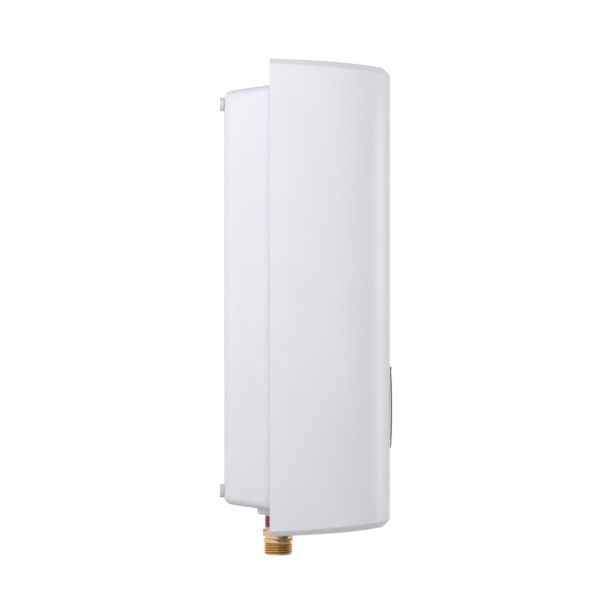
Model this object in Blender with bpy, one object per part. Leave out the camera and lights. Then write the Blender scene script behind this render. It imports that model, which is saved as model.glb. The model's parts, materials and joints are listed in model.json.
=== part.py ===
# Compact wall-hung tankless water heater: a drafted rear housing, a curved lift-off front cover with a
# rotary temperature selector, two half-inch water fittings, and the water path, heater and electronics
# between them. Metres, +Z up, wall plane at Y = 0, front towards -Y. "Depth" is distance from the wall.

import math

import bmesh
import bpy
import numpy as np
from mathutils import Vector

# Shared clearances and cutter overrun
REST_GAP = 0.0003
RUNNING_GAP = 0.0006
OVERRUN = 0.002

# Front cover: plan profile of a flat front, a corner arc and a side arc on each side
COVER_HEIGHT = 0.340
COVER_HALF_WIDTH = 0.102
COVER_REAR_DEPTH = 0.0362
COVER_FRONT_DEPTH = 0.12445
COVER_WALL = 0.0025
COVER_CORNER_RADIUS = 0.024
COVER_SIDE_RADIUS = 0.130
COVER_CORNER_TURN_DEG = 29.6
COVER_CHAMFER_FRONT = 0.0052
COVER_CHAMFER_REAR = 0.0038
COVER_CORNER_STEPS = 5
COVER_SIDE_STEPS = 11
LEDGE_THICKNESS = 0.002
LEDGE_OVERLAP = 0.004
LEDGE_CORNER_RADIUS = 0.004

# Rear housing: a tub open to the front, its top and bottom drafted
TUB_BACK_DEPTH = 0.0033
TUB_RIM_DEPTH = 0.056
TUB_CREASE_DEPTH = 0.0137
TUB_HALF_WIDTH = 0.088
TUB_BACK_NARROWING = 0.0022
TUB_BACK_HALF_HEIGHT = 0.1481
TUB_DRAFT_DEG = 8.2
TUB_WALL = 0.0025
TUB_EDGE_RADIUS = 0.0045
TUB_CORNER_RADIUS = 0.0065
TUB_EDGE_STEPS = 3
TUB_CORNER_STEPS = 4

# Pipe boss under the housing, which both water fittings pass through
BOSS_HALF_WIDTH = 0.064
BOSS_REAR_DEPTH = 0.0267
BOSS_BOTTOM = 0.1579
BOSS_EDGE_RADIUS = 0.003
BOSS_EDGE_STEPS = 4
BOSS_COLLAR_RADIUS = 0.0099
BOSS_COLLAR_HEIGHT = 0.0016

# Lugs on the housing's top rim that pass through slots in the cover's ledge
LUG_OFFSET = 0.045
LUG_HALF_WIDTH = 0.006
LUG_REACH = 0.006
LUG_ROOT = 0.008

# Wall spacers and wall-screw slots in the housing's back
SPACER_RADIUS = 0.0048
SPACER_STEM_RADIUS = 0.002
SPACER_STEM_LENGTH = 0.0045
SPACER_OFFSET_X = 0.075
SPACER_OFFSET_Z = 0.1393
WALL_SLOT_HALF_WIDTH = 0.0033
WALL_SLOT_HALF_LENGTH = 0.0075
WALL_SLOT_TOP_X = 0.055
WALL_SLOT_TOP_Z = 0.132
WALL_SLOT_LOW_X = 0.072
WALL_SLOT_LOW_Z = 0.118

# Water fittings: outlet at -X, inlet at +X
FITTING_SPACING = 0.100
FITTING_DEPTH = 0.0417
NIPPLE_BORE_RADIUS = 0.0065
NIPPLE_SPIGOT_RADIUS = 0.008
NIPPLE_TOP = 0.141
NIPPLE_NECK_RADIUS = 0.0093
NIPPLE_NECK_HEIGHT = 0.0013
NIPPLE_HEX_ACROSS = 0.022
NIPPLE_HEX_HEIGHT = 0.0047
NIPPLE_HEX_CHAMFER = 0.0008
NIPPLE_GROOVE_HEIGHT = 0.0017
NIPPLE_COLLAR_RADIUS = 0.0108
NIPPLE_COLLAR_HEIGHT = 0.003
NIPPLE_COLLAR_ROUND = 0.0007
THREAD_RADIUS = 0.0104775
THREAD_DEPTH = 0.001162
THREAD_PITCH = 0.001814
THREAD_LENGTH = 0.00875
THREAD_ROWS_PER_PITCH = 4
NIPPLE_SIDES = 20
MARKER_RADIUS = 0.0095
MARKER_HEIGHT = 0.0075
MARKER_WALL = 0.0011
WASHER_RADIUS = 0.0097
WASHER_HEIGHT = 0.0005

# Heating block: four upright channels between an upper and a lower header
BLOCK_HALF_WIDTH = 0.064
BLOCK_HALF_DEPTH = 0.0167
BLOCK_BOTTOM = 0.066
BLOCK_TOP = 0.110
BLOCK_EDGE = 0.0015
CHANNEL_RADIUS = 0.009
CHANNEL_SIDES = 16
HEADER_HEIGHT = 0.014
HEADER_FLOOR = 0.003
PORT_STUB_RADIUS = 0.0105
PORT_STUB_LENGTH = 0.010
PORT_SOCKET_DEPTH = 0.011
PIPE_RADIUS = 0.0075
PIPE_BORE_RADIUS = 0.0062
PILLAR_RADIUS = 0.0055
PILLAR_SCREW_TOP_Z = 0.092
PILLAR_SCREW_LOW_Z = 0.048

# Heating coils: bare wire helices whose return leg runs up the middle
COIL_RADIUS = 0.0058
COIL_WIRE_RADIUS = 0.0008
COIL_TURNS = 9
COIL_POINTS_PER_TURN = 8
COIL_LOW_MARGIN = 0.010
COIL_TOP_MARGIN = 0.012
COIL_PIN_STANDING = 0.006

# Screws
SCREW_RADIUS = 0.0019
SCREW_HEAD_RADIUS = 0.004
SCREW_HEAD_HEIGHT = 0.0024
SCREW_GRIP = 0.009
SMALL_SCREW_RADIUS = 0.0013
SMALL_SCREW_HEAD_RADIUS = 0.0029
SMALL_SCREW_HEAD_HEIGHT = 0.0018
SMALL_SCREW_GRIP = 0.005
SCREW_SLOT_WIDTH = 0.0009
SCREW_SLOT_DEPTH = 0.001
SCREW_SIDES = 12

# Outlet pipe with its socket and the pad that carries the thermal cutout
SOCKET_RADIUS = 0.0112
SOCKET_HEIGHT = 0.015
PAD_HALF_WIDTH = 0.009
PAD_LOW = 0.118
PAD_HIGH = 0.098
PAD_STANDING = 0.011
CUTOUT_HALF_WIDTH = 0.012
CUTOUT_THICKNESS = 0.016
CUTOUT_MARGIN = 0.004
CUTOUT_EDGE = 0.001
CUTOUT_BLADE_HALF_WIDTH = 0.003
CUTOUT_BLADE_THICKNESS = 0.0008
CUTOUT_BLADE_LENGTH = 0.008
CUTOUT_BLADE_SPREAD = 0.006
BUTTON_RADIUS = 0.003
BUTTON_LENGTH = 0.008
BUTTON_STANDING = 0.0026
BUTTON_TRAVEL = 0.002

# Stop valve on the inlet, with a quarter-turn plug worked from the front
VALVE_HALF_WIDTH = 0.0138
VALVE_TOP = 0.115
VALVE_EDGE = 0.001
PLUG_RADIUS = 0.0085
PLUG_BORE_RADIUS = 0.0055
PLUG_REACH = 0.010
PLUG_Z = 0.127
PLUG_STEM_RADIUS = 0.0045
PLUG_STEM_STANDING = 0.004
PLUG_SLOT_WIDTH = 0.0016
PLUG_SLOT_DEPTH = 0.002
GLAND_RADIUS = 0.0115
GLAND_HEIGHT = 0.004
GLAND_SIDES = 6
STRAINER_RADIUS = 0.0056
STRAINER_WALL = 0.0009
STRAINER_LENGTH = 0.014
STRAINER_WINDOW = 0.0035
STRAINER_RIM_MARGIN = 0.003

# Flow sensor: turbine on a fixed axle between two spiders
SENSOR_RADIUS = 0.0125
SENSOR_CHAMBER_RADIUS = 0.009
SENSOR_SPIGOT_LENGTH = 0.0022
SENSOR_FLOOR = 0.003
SPIDER_HEIGHT = 0.002
SPIDER_HALF_WIDTH = 0.001
SPIDER_HUB_RADIUS = 0.0027
AXLE_RADIUS = 0.001
TURBINE_HUB_RADIUS = 0.0028
TURBINE_RADIUS = 0.0083
TURBINE_BLADE_THICKNESS = 0.0012
TURBINE_BLADE_MARGIN = 0.001
TURBINE_BLADES = 5
TURBINE_TWIST_DEG = 38
PICKUP_HALF_WIDTH = 0.005
PICKUP_THICKNESS = 0.006
PICKUP_HALF_HEIGHT = 0.006
LIMITER_RADIUS = 0.0074
LIMITER_HOLE_RADIUS = 0.003
LIMITER_HEIGHT = 0.0026

# Screw-in temperature sensors on the lower header
PROBE_TIP_RADIUS = 0.002
PROBE_TIP_LENGTH = 0.009
PROBE_HEX_RADIUS = 0.0052
PROBE_HEX_HEIGHT = 0.004
PROBE_PLUG_RADIUS = 0.0032
PROBE_PLUG_HEIGHT = 0.006

# Main circuit board and what it carries
BOARD_THICKNESS = 0.0016
BOARD_LEFT = 0.060
BOARD_RIGHT = 0.030
BOARD_LOW_Z = 0.028
BOARD_HIGH_Z = 0.096
BOARD_POST_RADIUS = 0.0036
BOARD_POST_HEIGHT = 0.0073
BOARD_POST_INSET = 0.006
RELAY_HALF_WIDTH = 0.008
RELAY_HEIGHT = 0.015
RELAY_HALF_LENGTH = 0.0145
RELAY_EDGE = 0.0006
RELAY_FIRST_X = 0.043
RELAY_SPACING = 0.021
RELAY_Z = 0.068
CAPACITOR_RADIUS = 0.0065
CAPACITOR_HEIGHT = 0.016
CAPACITOR_X = 0.004
CAPACITOR_Z = 0.068
SOCKET_BOX_HALF_WIDTH = 0.009
SOCKET_BOX_HALF_HEIGHT = 0.004
SOCKET_BOX_DEPTH = 0.008
SOCKET_BOX_WALL = 0.0012
SOCKET_BOX_X = 0.014
SOCKET_BOX_Z = 0.010
SINK_LEFT = 0.035
SINK_RIGHT = 0.062
SINK_LOW_Z = 0.030
SINK_HIGH_Z = 0.062
SINK_THICKNESS = 0.004
SINK_FIN_HEIGHT = 0.007
SINK_FIN_THICKNESS = 0.0015
SINK_FIN_COUNT = 4
TRIAC_HALF_WIDTH = 0.005
TRIAC_HEIGHT = 0.0092
TRIAC_TAB_HEIGHT = 0.0158
TRIAC_TAB_THICKNESS = 0.0013
TRIAC_THICKNESS = 0.0045
TRIAC_LOW_Z = 0.008
TRIAC_SPACING = 0.034

# Mains terminal block, cable grommet and cord clamp
TERMINAL_HALF_WIDTH = 0.025
TERMINAL_LOW = 0.109
TERMINAL_HIGH = 0.089
TERMINAL_THICKNESS = 0.020
TERMINAL_EDGE = 0.0008
TERMINAL_PITCH = 0.016
TERMINAL_POLES = 3
TERMINAL_WELL_RADIUS = 0.0034
TERMINAL_WELL_DEPTH = 0.009
TERMINAL_WIRE_RADIUS = 0.0027
TERMINAL_WIRE_DEPTH = 0.007
TERMINAL_WIRE_INSET = 0.0075
PEDESTAL_HEIGHT = 0.006
PEDESTAL_INSET = 0.004
GROMMET_HOLE_RADIUS = 0.0075
GROMMET_FLANGE_RADIUS = 0.0095
GROMMET_FLANGE_THICKNESS = 0.0013
GROMMET_BORE_RADIUS = 0.0048
GROMMET_Z = 0.1335
CLAMP_Z = 0.119
CLAMP_POST_OFFSET = 0.012
CLAMP_POST_RADIUS = 0.0036
CLAMP_POST_HEIGHT = 0.009
CLAMP_HALF_WIDTH = 0.0165
CLAMP_HALF_HEIGHT = 0.004
CLAMP_THICKNESS = 0.004

# Internal leads
LEAD_RADIUS = 0.0013
LEAD_SIDES_RESOLUTION = 1
LEAD_STEPS_PER_BEND = 4
LEAD_START_DEPTH = 0.028
LEAD_UNDER_Z = 0.0855
LEAD_UNDER_DEPTH = 0.045
LEAD_RISE = 0.025
LEAD_LIVE_X = 0.042
LEAD_NEUTRAL_X = 0.030
LEAD_EARTH_X = 0.040

# Control unit on the cover: bezel cup, rotary selector ring, display window, encoder and its pinion
CONTROL_Z = 0.0827
CONTROL_SIDES = 48
BEZEL_RADIUS = 0.0322
BEZEL_PROUD = 0.00065
BEZEL_FRONT_DEPTH = COVER_FRONT_DEPTH + BEZEL_PROUD
BEZEL_FLANGE_THICKNESS = 0.0014
BEZEL_EDGE = 0.0003
BEZEL_CUP_RADIUS = 0.031
BEZEL_INNER_RADIUS = 0.0297
BEZEL_CUP_DEPTH = 0.0162
BEZEL_FLOOR_DEPTH = BEZEL_FRONT_DEPTH - BEZEL_CUP_DEPTH
BEZEL_FLOOR = 0.002
BEZEL_HUB_RADIUS = 0.0163
BEZEL_HUB_WALL = 0.0014
MARK_RADIUS = 0.0004
MARK_PLACE_RADIUS = 0.0317
MARK_PROUD = 0.0013
MARK_FRONT_DEPTH = BEZEL_FRONT_DEPTH + MARK_PROUD
MARK_SIDES = 8
DIAL_TURN_DEG = 140
SELECTOR_RADIUS = 0.0310
SELECTOR_PROUD = 0.00085
SELECTOR_FRONT_DEPTH = BEZEL_FRONT_DEPTH + SELECTOR_PROUD
SELECTOR_SKIRT_RADIUS = 0.0293
SELECTOR_INNER_RADIUS = 0.0207
SELECTOR_LIP_RADIUS = 0.0169
SELECTOR_LIP_BELOW = 0.0022
SELECTOR_LIP_DEPTH = BEZEL_FRONT_DEPTH - SELECTOR_LIP_BELOW
SELECTOR_LIP_THICKNESS = 0.0025
SELECTOR_PLATE_DEPTH = SELECTOR_LIP_DEPTH - SELECTOR_LIP_THICKNESS
SELECTOR_REACH = 0.0112
SELECTOR_REAR_DEPTH = BEZEL_FRONT_DEPTH - SELECTOR_REACH
SELECTOR_EDGE = 0.0002
POINTER_HALF_WIDTH = 0.0009
POINTER_INNER_RADIUS = 0.0280
POINTER_PROUD = 0.0007
POINTER_FRONT_DEPTH = SELECTOR_FRONT_DEPTH + POINTER_PROUD
WINDOW_RADIUS = 0.0204
WINDOW_BELOW = 0.00015
WINDOW_FRONT_DEPTH = SELECTOR_FRONT_DEPTH - WINDOW_BELOW
WINDOW_EDGE = 0.0002
GEAR_MODULE = 0.001
RING_TEETH = 52
PINION_TEETH = 8
GEAR_ADDENDUM = 0.0008
GEAR_DEDENDUM = 0.0011
PINION_HEIGHT = 0.004
PINION_SHAFT_RADIUS = 0.0012
PINION_SHAFT_LENGTH = 0.0015
PINION_ROOT_SHARE = 0.22
PINION_TIP_SHARE = 0.10
RING_MOUTH_SHARE = 0.38
RING_FLOOR_SHARE = 0.25
ENCODER_HALF_WIDTH = 0.0045
ENCODER_HALF_HEIGHT = 0.0040
ENCODER_HEIGHT = 0.0024
DISPLAY_BOARD_BELOW = 0.0079
DISPLAY_BOARD_DEPTH = BEZEL_FRONT_DEPTH - DISPLAY_BOARD_BELOW
DISPLAY_HALF_WIDTH = 0.0105
DISPLAY_HALF_HEIGHT = 0.006
DISPLAY_THICKNESS = 0.0025

# Ribbon from the control unit to the main board
RIBBON_HALF_WIDTH = 0.006
RIBBON_THICKNESS = 0.0008
RIBBON_STEPS_PER_BEND = 4
RIBBON_PLUG_LENGTH = 0.009
RIBBON_DROP = 0.0169
RIBBON_TOP_DEPTH = BEZEL_FLOOR_DEPTH - RIBBON_DROP
RIBBON_END_ABOVE = 0.018
RIBBON_END_BLOCK = 0.003
RIBBON_END_HALF_HEIGHT = 0.0035

# Cover screw, entered from below through a tower in the cover's floor
COVER_SCREW_DEPTH = 0.046
TOWER_RADIUS = 0.0062
COVER_SCREW_RECESS = 0.005
COVER_SCREW_REACH = 0.006

AT_ZERO = Vector((0, 0, 0))
TO_FRONT = Vector((0, -1, 0))
TO_WALL = Vector((0, 1, 0))
UP = Vector((0, 0, 1))
DOWN = Vector((0, 0, -1))

WHITE_PLASTIC = ("white_plastic", (0.81, 0.81, 0.85), 0.35, 0.0)
PALE_PLASTIC = ("pale_plastic", (0.62, 0.62, 0.64), 0.45, 0.0)
GREY_PLASTIC = ("grey_plastic", (0.24, 0.25, 0.27), 0.5, 0.0)
DARK_GLOSS = ("dark_gloss", (0.03, 0.03, 0.035), 0.12, 0.0)
BLACK_PLASTIC = ("black_plastic", (0.02, 0.02, 0.022), 0.45, 0.0)
RED_PLASTIC = ("red_plastic", (0.32, 0.03, 0.05), 0.45, 0.0)
BLUE_PLASTIC = ("blue_plastic", (0.02, 0.10, 0.42), 0.45, 0.0)
NYLON = ("nylon", (0.72, 0.72, 0.69), 0.5, 0.0)
HEATER_PLASTIC = ("heater_plastic", (0.07, 0.075, 0.08), 0.55, 0.0)
BRASS = ("brass", (0.75, 0.50, 0.20), 0.28, 1.0)
STEEL = ("steel", (0.60, 0.60, 0.62), 0.3, 1.0)
RESISTANCE_WIRE = ("resistance_wire", (0.42, 0.39, 0.36), 0.4, 1.0)
ALUMINIUM = ("aluminium", (0.75, 0.76, 0.78), 0.4, 1.0)
COPPER = ("copper", (0.78, 0.36, 0.20), 0.3, 1.0)
RUBBER = ("rubber", (0.03, 0.03, 0.03), 0.8, 0.0)
BOARD_GREEN = ("board_green", (0.02, 0.20, 0.09), 0.5, 0.0)
BROWN_WIRE = ("brown_wire", (0.16, 0.06, 0.02), 0.45, 0.0)
BLUE_WIRE = ("blue_wire", (0.02, 0.08, 0.35), 0.45, 0.0)
EARTH_WIRE = ("earth_wire", (0.25, 0.42, 0.04), 0.45, 0.0)
RIBBON_GREY = ("ribbon_grey", (0.45, 0.46, 0.48), 0.5, 0.0)
WATER_RED = ("button_red", (0.55, 0.03, 0.03), 0.4, 0.0)


# Shapes: a shape is (points, faces) in world coordinates


def at(x, depth, z):
    return Vector((x, -depth, z))


def joined(*shapes):
    """Several shapes that don't touch, as one."""
    points, faces = [], []
    for shape_points, shape_faces in shapes:
        start = len(points)
        points += shape_points
        faces += [tuple(start + i for i in face) for face in shape_faces]
    return points, faces


def loft(rings, wrapped=False):
    """The skin through rings of as many points each, capped at both ends or wrapped round to the start."""
    count = len(rings[0])
    points = [point for ring in rings for point in ring]
    faces = []
    for a in range(len(rings) if wrapped else len(rings) - 1):
        b = (a + 1) % len(rings)
        for i in range(count):
            j = (i + 1) % count
            faces.append((a * count + i, a * count + j, b * count + j, b * count + i))
    if not wrapped:
        faces.append(tuple(range(count)))
        faces.append(tuple(len(points) - count + i for i in range(count)))
    return points, faces


def box(x, depth, z):
    """A box between pairs of x, depth and z."""
    rings = [[at(x[0], d, z[0]), at(x[1], d, z[0]), at(x[1], d, z[1]), at(x[0], d, z[1])] for d in depth]
    return loft(rings)


def across(direction):
    """Two unit vectors square to the direction and to each other."""
    side = Vector((1, 0, 0))
    return side, direction.cross(side)


def ring_of(place, direction, radius, along, sides):
    side, other = across(direction)
    angles = [2 * math.pi * i / sides for i in range(sides)]
    centre = place + direction * along
    return [centre + (side * math.cos(a) + other * math.sin(a)) * radius for a in angles]


def turned(place, direction, profile, sides, bored=False):
    """A profile of (radius, distance along) turned about the direction, solid or with a bore."""
    return loft([ring_of(place, direction, r, s, sides) for r, s in profile], bored)


def rod(place, direction, radius, start, end, sides):
    return turned(place, direction, [(radius, start), (radius, end)], sides)


def rounded_rectangle(half_width, half_height, radius, steps):
    """Corner arcs of an upright rectangle, as (x, z)."""
    outline = []
    for corner, (sx, sz) in enumerate(((1, 1), (-1, 1), (-1, -1), (1, -1))):
        for k in range(steps + 1):
            angle = math.pi / 2 * (corner + k / steps)
            x = sx * (half_width - radius) + radius * math.cos(angle)
            z = sz * (half_height - radius) + radius * math.sin(angle)
            outline.append((x, z))
    return outline


def slot_cutter(x, z, half_width, half_length, depth):
    """An upright slot with round ends, through a pair of depths."""
    outline = rounded_rectangle(half_width, half_length, half_width, TUB_CORNER_STEPS)
    return loft([[at(x + px, d, z + pz) for px, pz in outline] for d in depth])


# Objects


def material_of(finish):
    name, colour, roughness, metallic = finish
    material = bpy.data.materials.get(name)
    if material is None:
        material = bpy.data.materials.new(name)
        material.use_nodes = True
        shader = material.node_tree.nodes["Principled BSDF"]
        shader.inputs["Base Color"].default_value = (*colour, 1)
        shader.inputs["Roughness"].default_value = roughness
        shader.inputs["Metallic"].default_value = metallic
    return material


def mesh_object(name, shape, origin):
    mesh = bpy.data.meshes.new(name)
    points, faces = shape
    mesh.from_pydata([point - origin for point in points], [], faces)
    builder = bmesh.new()
    builder.from_mesh(mesh)
    bmesh.ops.recalc_face_normals(builder, faces=builder.faces)
    builder.to_mesh(mesh)
    builder.free()
    thing = bpy.data.objects.new(name, mesh)
    bpy.context.scene.collection.objects.link(thing)
    thing.location = origin
    return thing


def make(name, shape, finish, origin=AT_ZERO, parent=None):
    """A named piece, shaded smooth but for its sharp edges."""
    piece = mesh_object(name, shape, origin)
    piece.data.shade_smooth()
    piece.data.set_sharp_from_angle(angle=math.radians(35))
    piece.data.materials.append(material_of(finish))
    if parent is not None:
        piece.parent = parent
        piece.location = origin - parent.location
    return piece


def boolean(piece, shape, operation):
    helper = mesh_object(f"{piece.name}_{operation.lower()}", shape, AT_ZERO)
    helper.hide_render = True
    helper.display_type = "WIRE"
    modifier = piece.modifiers.new(operation.title(), "BOOLEAN")
    modifier.operation = operation
    modifier.solver = "EXACT"
    modifier.object = helper


def add(piece, *shapes):
    boolean(piece, joined(*shapes), "UNION")


def cut(piece, *shapes):
    boolean(piece, joined(*shapes), "DIFFERENCE")


def bevel(piece, width):
    modifier = piece.modifiers.new("Bevel", "BEVEL")
    modifier.width = width
    modifier.segments = 1
    modifier.limit_method = "ANGLE"


def pivot(name, place):
    """An empty on a joint's axis, which its moving pieces hang from."""
    empty = bpy.data.objects.new(name, None)
    bpy.context.scene.collection.objects.link(empty)
    empty.location = place
    return empty


def screw(name, seat, direction, shank, head, sides=SCREW_SIDES):
    """A slotted screw: direction is where its shank points, seat the centre under its head."""
    shank_radius, shank_length = shank
    head_radius, head_height = head
    profile = [(head_radius, -head_height), (head_radius, 0), (shank_radius, 0), (shank_radius, shank_length)]
    piece = make(name, turned(seat, direction, profile, sides), STEEL, seat)
    side, other = across(direction)
    half = SCREW_SLOT_WIDTH / 2
    reach = head_radius + OVERRUN
    top, floor = -head_height - OVERRUN, SCREW_SLOT_DEPTH - head_height
    rings = []
    for along in (top, floor):
        centre = seat + direction * along
        rings.append([centre + side * a + other * b
                      for a, b in ((-reach, -half), (reach, -half), (reach, half), (-reach, half))])
    cut(piece, loft(rings))
    return piece


# Sizes that follow from the driving dimensions

TUB_DRAFT = math.tan(math.radians(TUB_DRAFT_DEG))
TUB_FLOOR_DEPTH = TUB_BACK_DEPTH + TUB_WALL
FITTING_X = FITTING_SPACING / 2
BLOCK_FRONT_DEPTH = FITTING_DEPTH + BLOCK_HALF_DEPTH
BLOCK_BACK_DEPTH = FITTING_DEPTH - BLOCK_HALF_DEPTH
LOW_HEADER_TOP = BLOCK_BOTTOM + REST_GAP
LOW_HEADER_BOTTOM = LOW_HEADER_TOP + HEADER_HEIGHT
STUB_BOTTOM = LOW_HEADER_BOTTOM + PORT_STUB_LENGTH
SOCKET_END = STUB_BOTTOM - PORT_SOCKET_DEPTH
HIGH_HEADER_BOTTOM = BLOCK_TOP + REST_GAP
HIGH_HEADER_TOP = HIGH_HEADER_BOTTOM + HEADER_HEIGHT
CHANNEL_PITCH = FITTING_SPACING / 3
CHANNELS_X = [FITTING_X - CHANNEL_PITCH * k for k in range(4)]
BOARD_DEPTH = BLOCK_FRONT_DEPTH + BOARD_POST_HEIGHT + REST_GAP
BOARD_FRONT_DEPTH = BOARD_DEPTH + BOARD_THICKNESS
SOCKET_REAR_RISE = (FITTING_DEPTH - VALVE_HALF_WIDTH - TUB_BACK_DEPTH) * TUB_DRAFT
TUB_SOCKET_BOTTOM = TUB_BACK_HALF_HEIGHT + SOCKET_REAR_RISE - TUB_WALL - REST_GAP
TERMINAL_BACK_DEPTH = TUB_FLOOR_DEPTH + PEDESTAL_HEIGHT + REST_GAP
TERMINAL_FRONT_DEPTH = TERMINAL_BACK_DEPTH + TERMINAL_THICKNESS
LEDGE_DEPTH = TUB_RIM_DEPTH + REST_GAP


def tub_half_height(depth):
    return TUB_BACK_HALF_HEIGHT + (depth - TUB_BACK_DEPTH) * TUB_DRAFT


def tub_half_width(depth):
    inside = min(1, (depth - TUB_BACK_DEPTH) / (TUB_CREASE_DEPTH - TUB_BACK_DEPTH))
    return TUB_HALF_WIDTH - TUB_BACK_NARROWING * (1 - inside)


def tub_ring(depth, inset):
    """The housing's outline at a depth, drawn in by an inset."""
    outline = rounded_rectangle(tub_half_width(depth) - inset, tub_half_height(depth) - inset,
                                TUB_CORNER_RADIUS - inset, TUB_CORNER_STEPS)
    return [at(x, depth, z) for x, z in outline]


# Cover profile: headings run from 0 along the front to where the side arc meets the rear plane


def cover_centres():
    """The half-length of the flat front, then the centres of the corner and side arcs, as (x, depth)."""
    turn = math.radians(COVER_CORNER_TURN_DEG)
    step = COVER_CORNER_RADIUS - COVER_SIDE_RADIUS
    side_depth = COVER_FRONT_DEPTH - COVER_CORNER_RADIUS + step * math.cos(turn)
    end = math.acos((COVER_REAR_DEPTH - side_depth) / COVER_SIDE_RADIUS)
    flat = COVER_HALF_WIDTH - step * math.sin(turn) - COVER_SIDE_RADIUS * math.sin(end)
    corner = (flat, COVER_FRONT_DEPTH - COVER_CORNER_RADIUS)
    return corner, (flat + step * math.sin(turn), side_depth)


def cover_profile(inset):
    """Points (x, depth, share of the way back) from the left rear edge round the front to the right one."""
    corner, side = cover_centres()
    turn = math.radians(COVER_CORNER_TURN_DEG)
    half = []
    for k in range(COVER_CORNER_STEPS + 1):
        heading = turn * k / COVER_CORNER_STEPS
        radius = COVER_CORNER_RADIUS - inset(0 if k == 0 else heading)
        half.append((corner[0] + radius * math.sin(heading), corner[1] + radius * math.cos(heading)))
    rear_radius = COVER_SIDE_RADIUS - inset(math.pi / 2)
    end = math.acos((COVER_REAR_DEPTH - side[1]) / rear_radius)
    for k in range(1, COVER_SIDE_STEPS + 1):
        heading = turn + (end - turn) * k / COVER_SIDE_STEPS
        radius = COVER_SIDE_RADIUS - inset(math.pi / 2 * (heading - 0) / end)
        half.append((side[0] + radius * math.sin(heading), side[1] + radius * math.cos(heading)))
    return [(-x, d) for x, d in reversed(half)] + half


def chamfer_at(heading):
    """The chamfer grows from the rear edge to the front."""
    back = heading / (math.pi / 2)
    return COVER_CHAMFER_FRONT + (COVER_CHAMFER_REAR - COVER_CHAMFER_FRONT) * back


def cover_half_width_at(depth):
    _, side = cover_centres()
    return side[0] + math.sqrt(COVER_SIDE_RADIUS ** 2 - (depth - side[1]) ** 2)


def cover_rings(wall):
    """Four outlines from the bottom up: flat, chamfer edge, chamfer edge, flat. The wall draws them in."""
    spread = wall * (math.sqrt(2) - 1)
    flat = cover_profile(lambda heading: chamfer_at(heading) + spread if wall else chamfer_at(heading))
    edge = cover_profile(lambda heading: wall)
    half = COVER_HEIGHT / 2
    rings = []
    for sign in (-1, 1):
        flat_ring = [at(x, d, sign * (half - wall)) for x, d in flat]
        edge_ring = []
        for i, (x, d) in enumerate(edge):
            back = (COVER_FRONT_DEPTH - d) / (COVER_FRONT_DEPTH - COVER_REAR_DEPTH)
            chamfer = COVER_CHAMFER_FRONT + (COVER_CHAMFER_REAR - COVER_CHAMFER_FRONT) * back
            edge_ring.append(at(x, d, sign * (half - chamfer - spread)))
        rings += [flat_ring, edge_ring] if sign < 0 else [edge_ring, flat_ring]
    return rings


def cover_shell():
    """The outer and inner skins of the cover, joined by its narrow rear face."""
    outer, inner = cover_rings(0), cover_rings(COVER_WALL)
    count = len(outer[0])
    points = [point for ring in outer + inner for point in ring]
    faces = []
    for skin in range(2):
        base = skin * 4 * count
        for strip in range(3):
            low, high = base + strip * count, base + (strip + 1) * count
            faces += [(low + i, low + i + 1, high + i + 1, high + i) for i in range(count - 1)]
        faces.append(tuple(base + i for i in range(count)))
        faces.append(tuple(base + 3 * count + i for i in range(count)))
    rim = [ring * count for ring in range(4)] + [ring * count + count - 1 for ring in (3, 2, 1, 0)]
    for a, b in zip(rim, rim[1:] + rim[:1]):
        faces.append((a, b, b + 4 * count, a + 4 * count))
    return points, faces


# Housing and its trim


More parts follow.
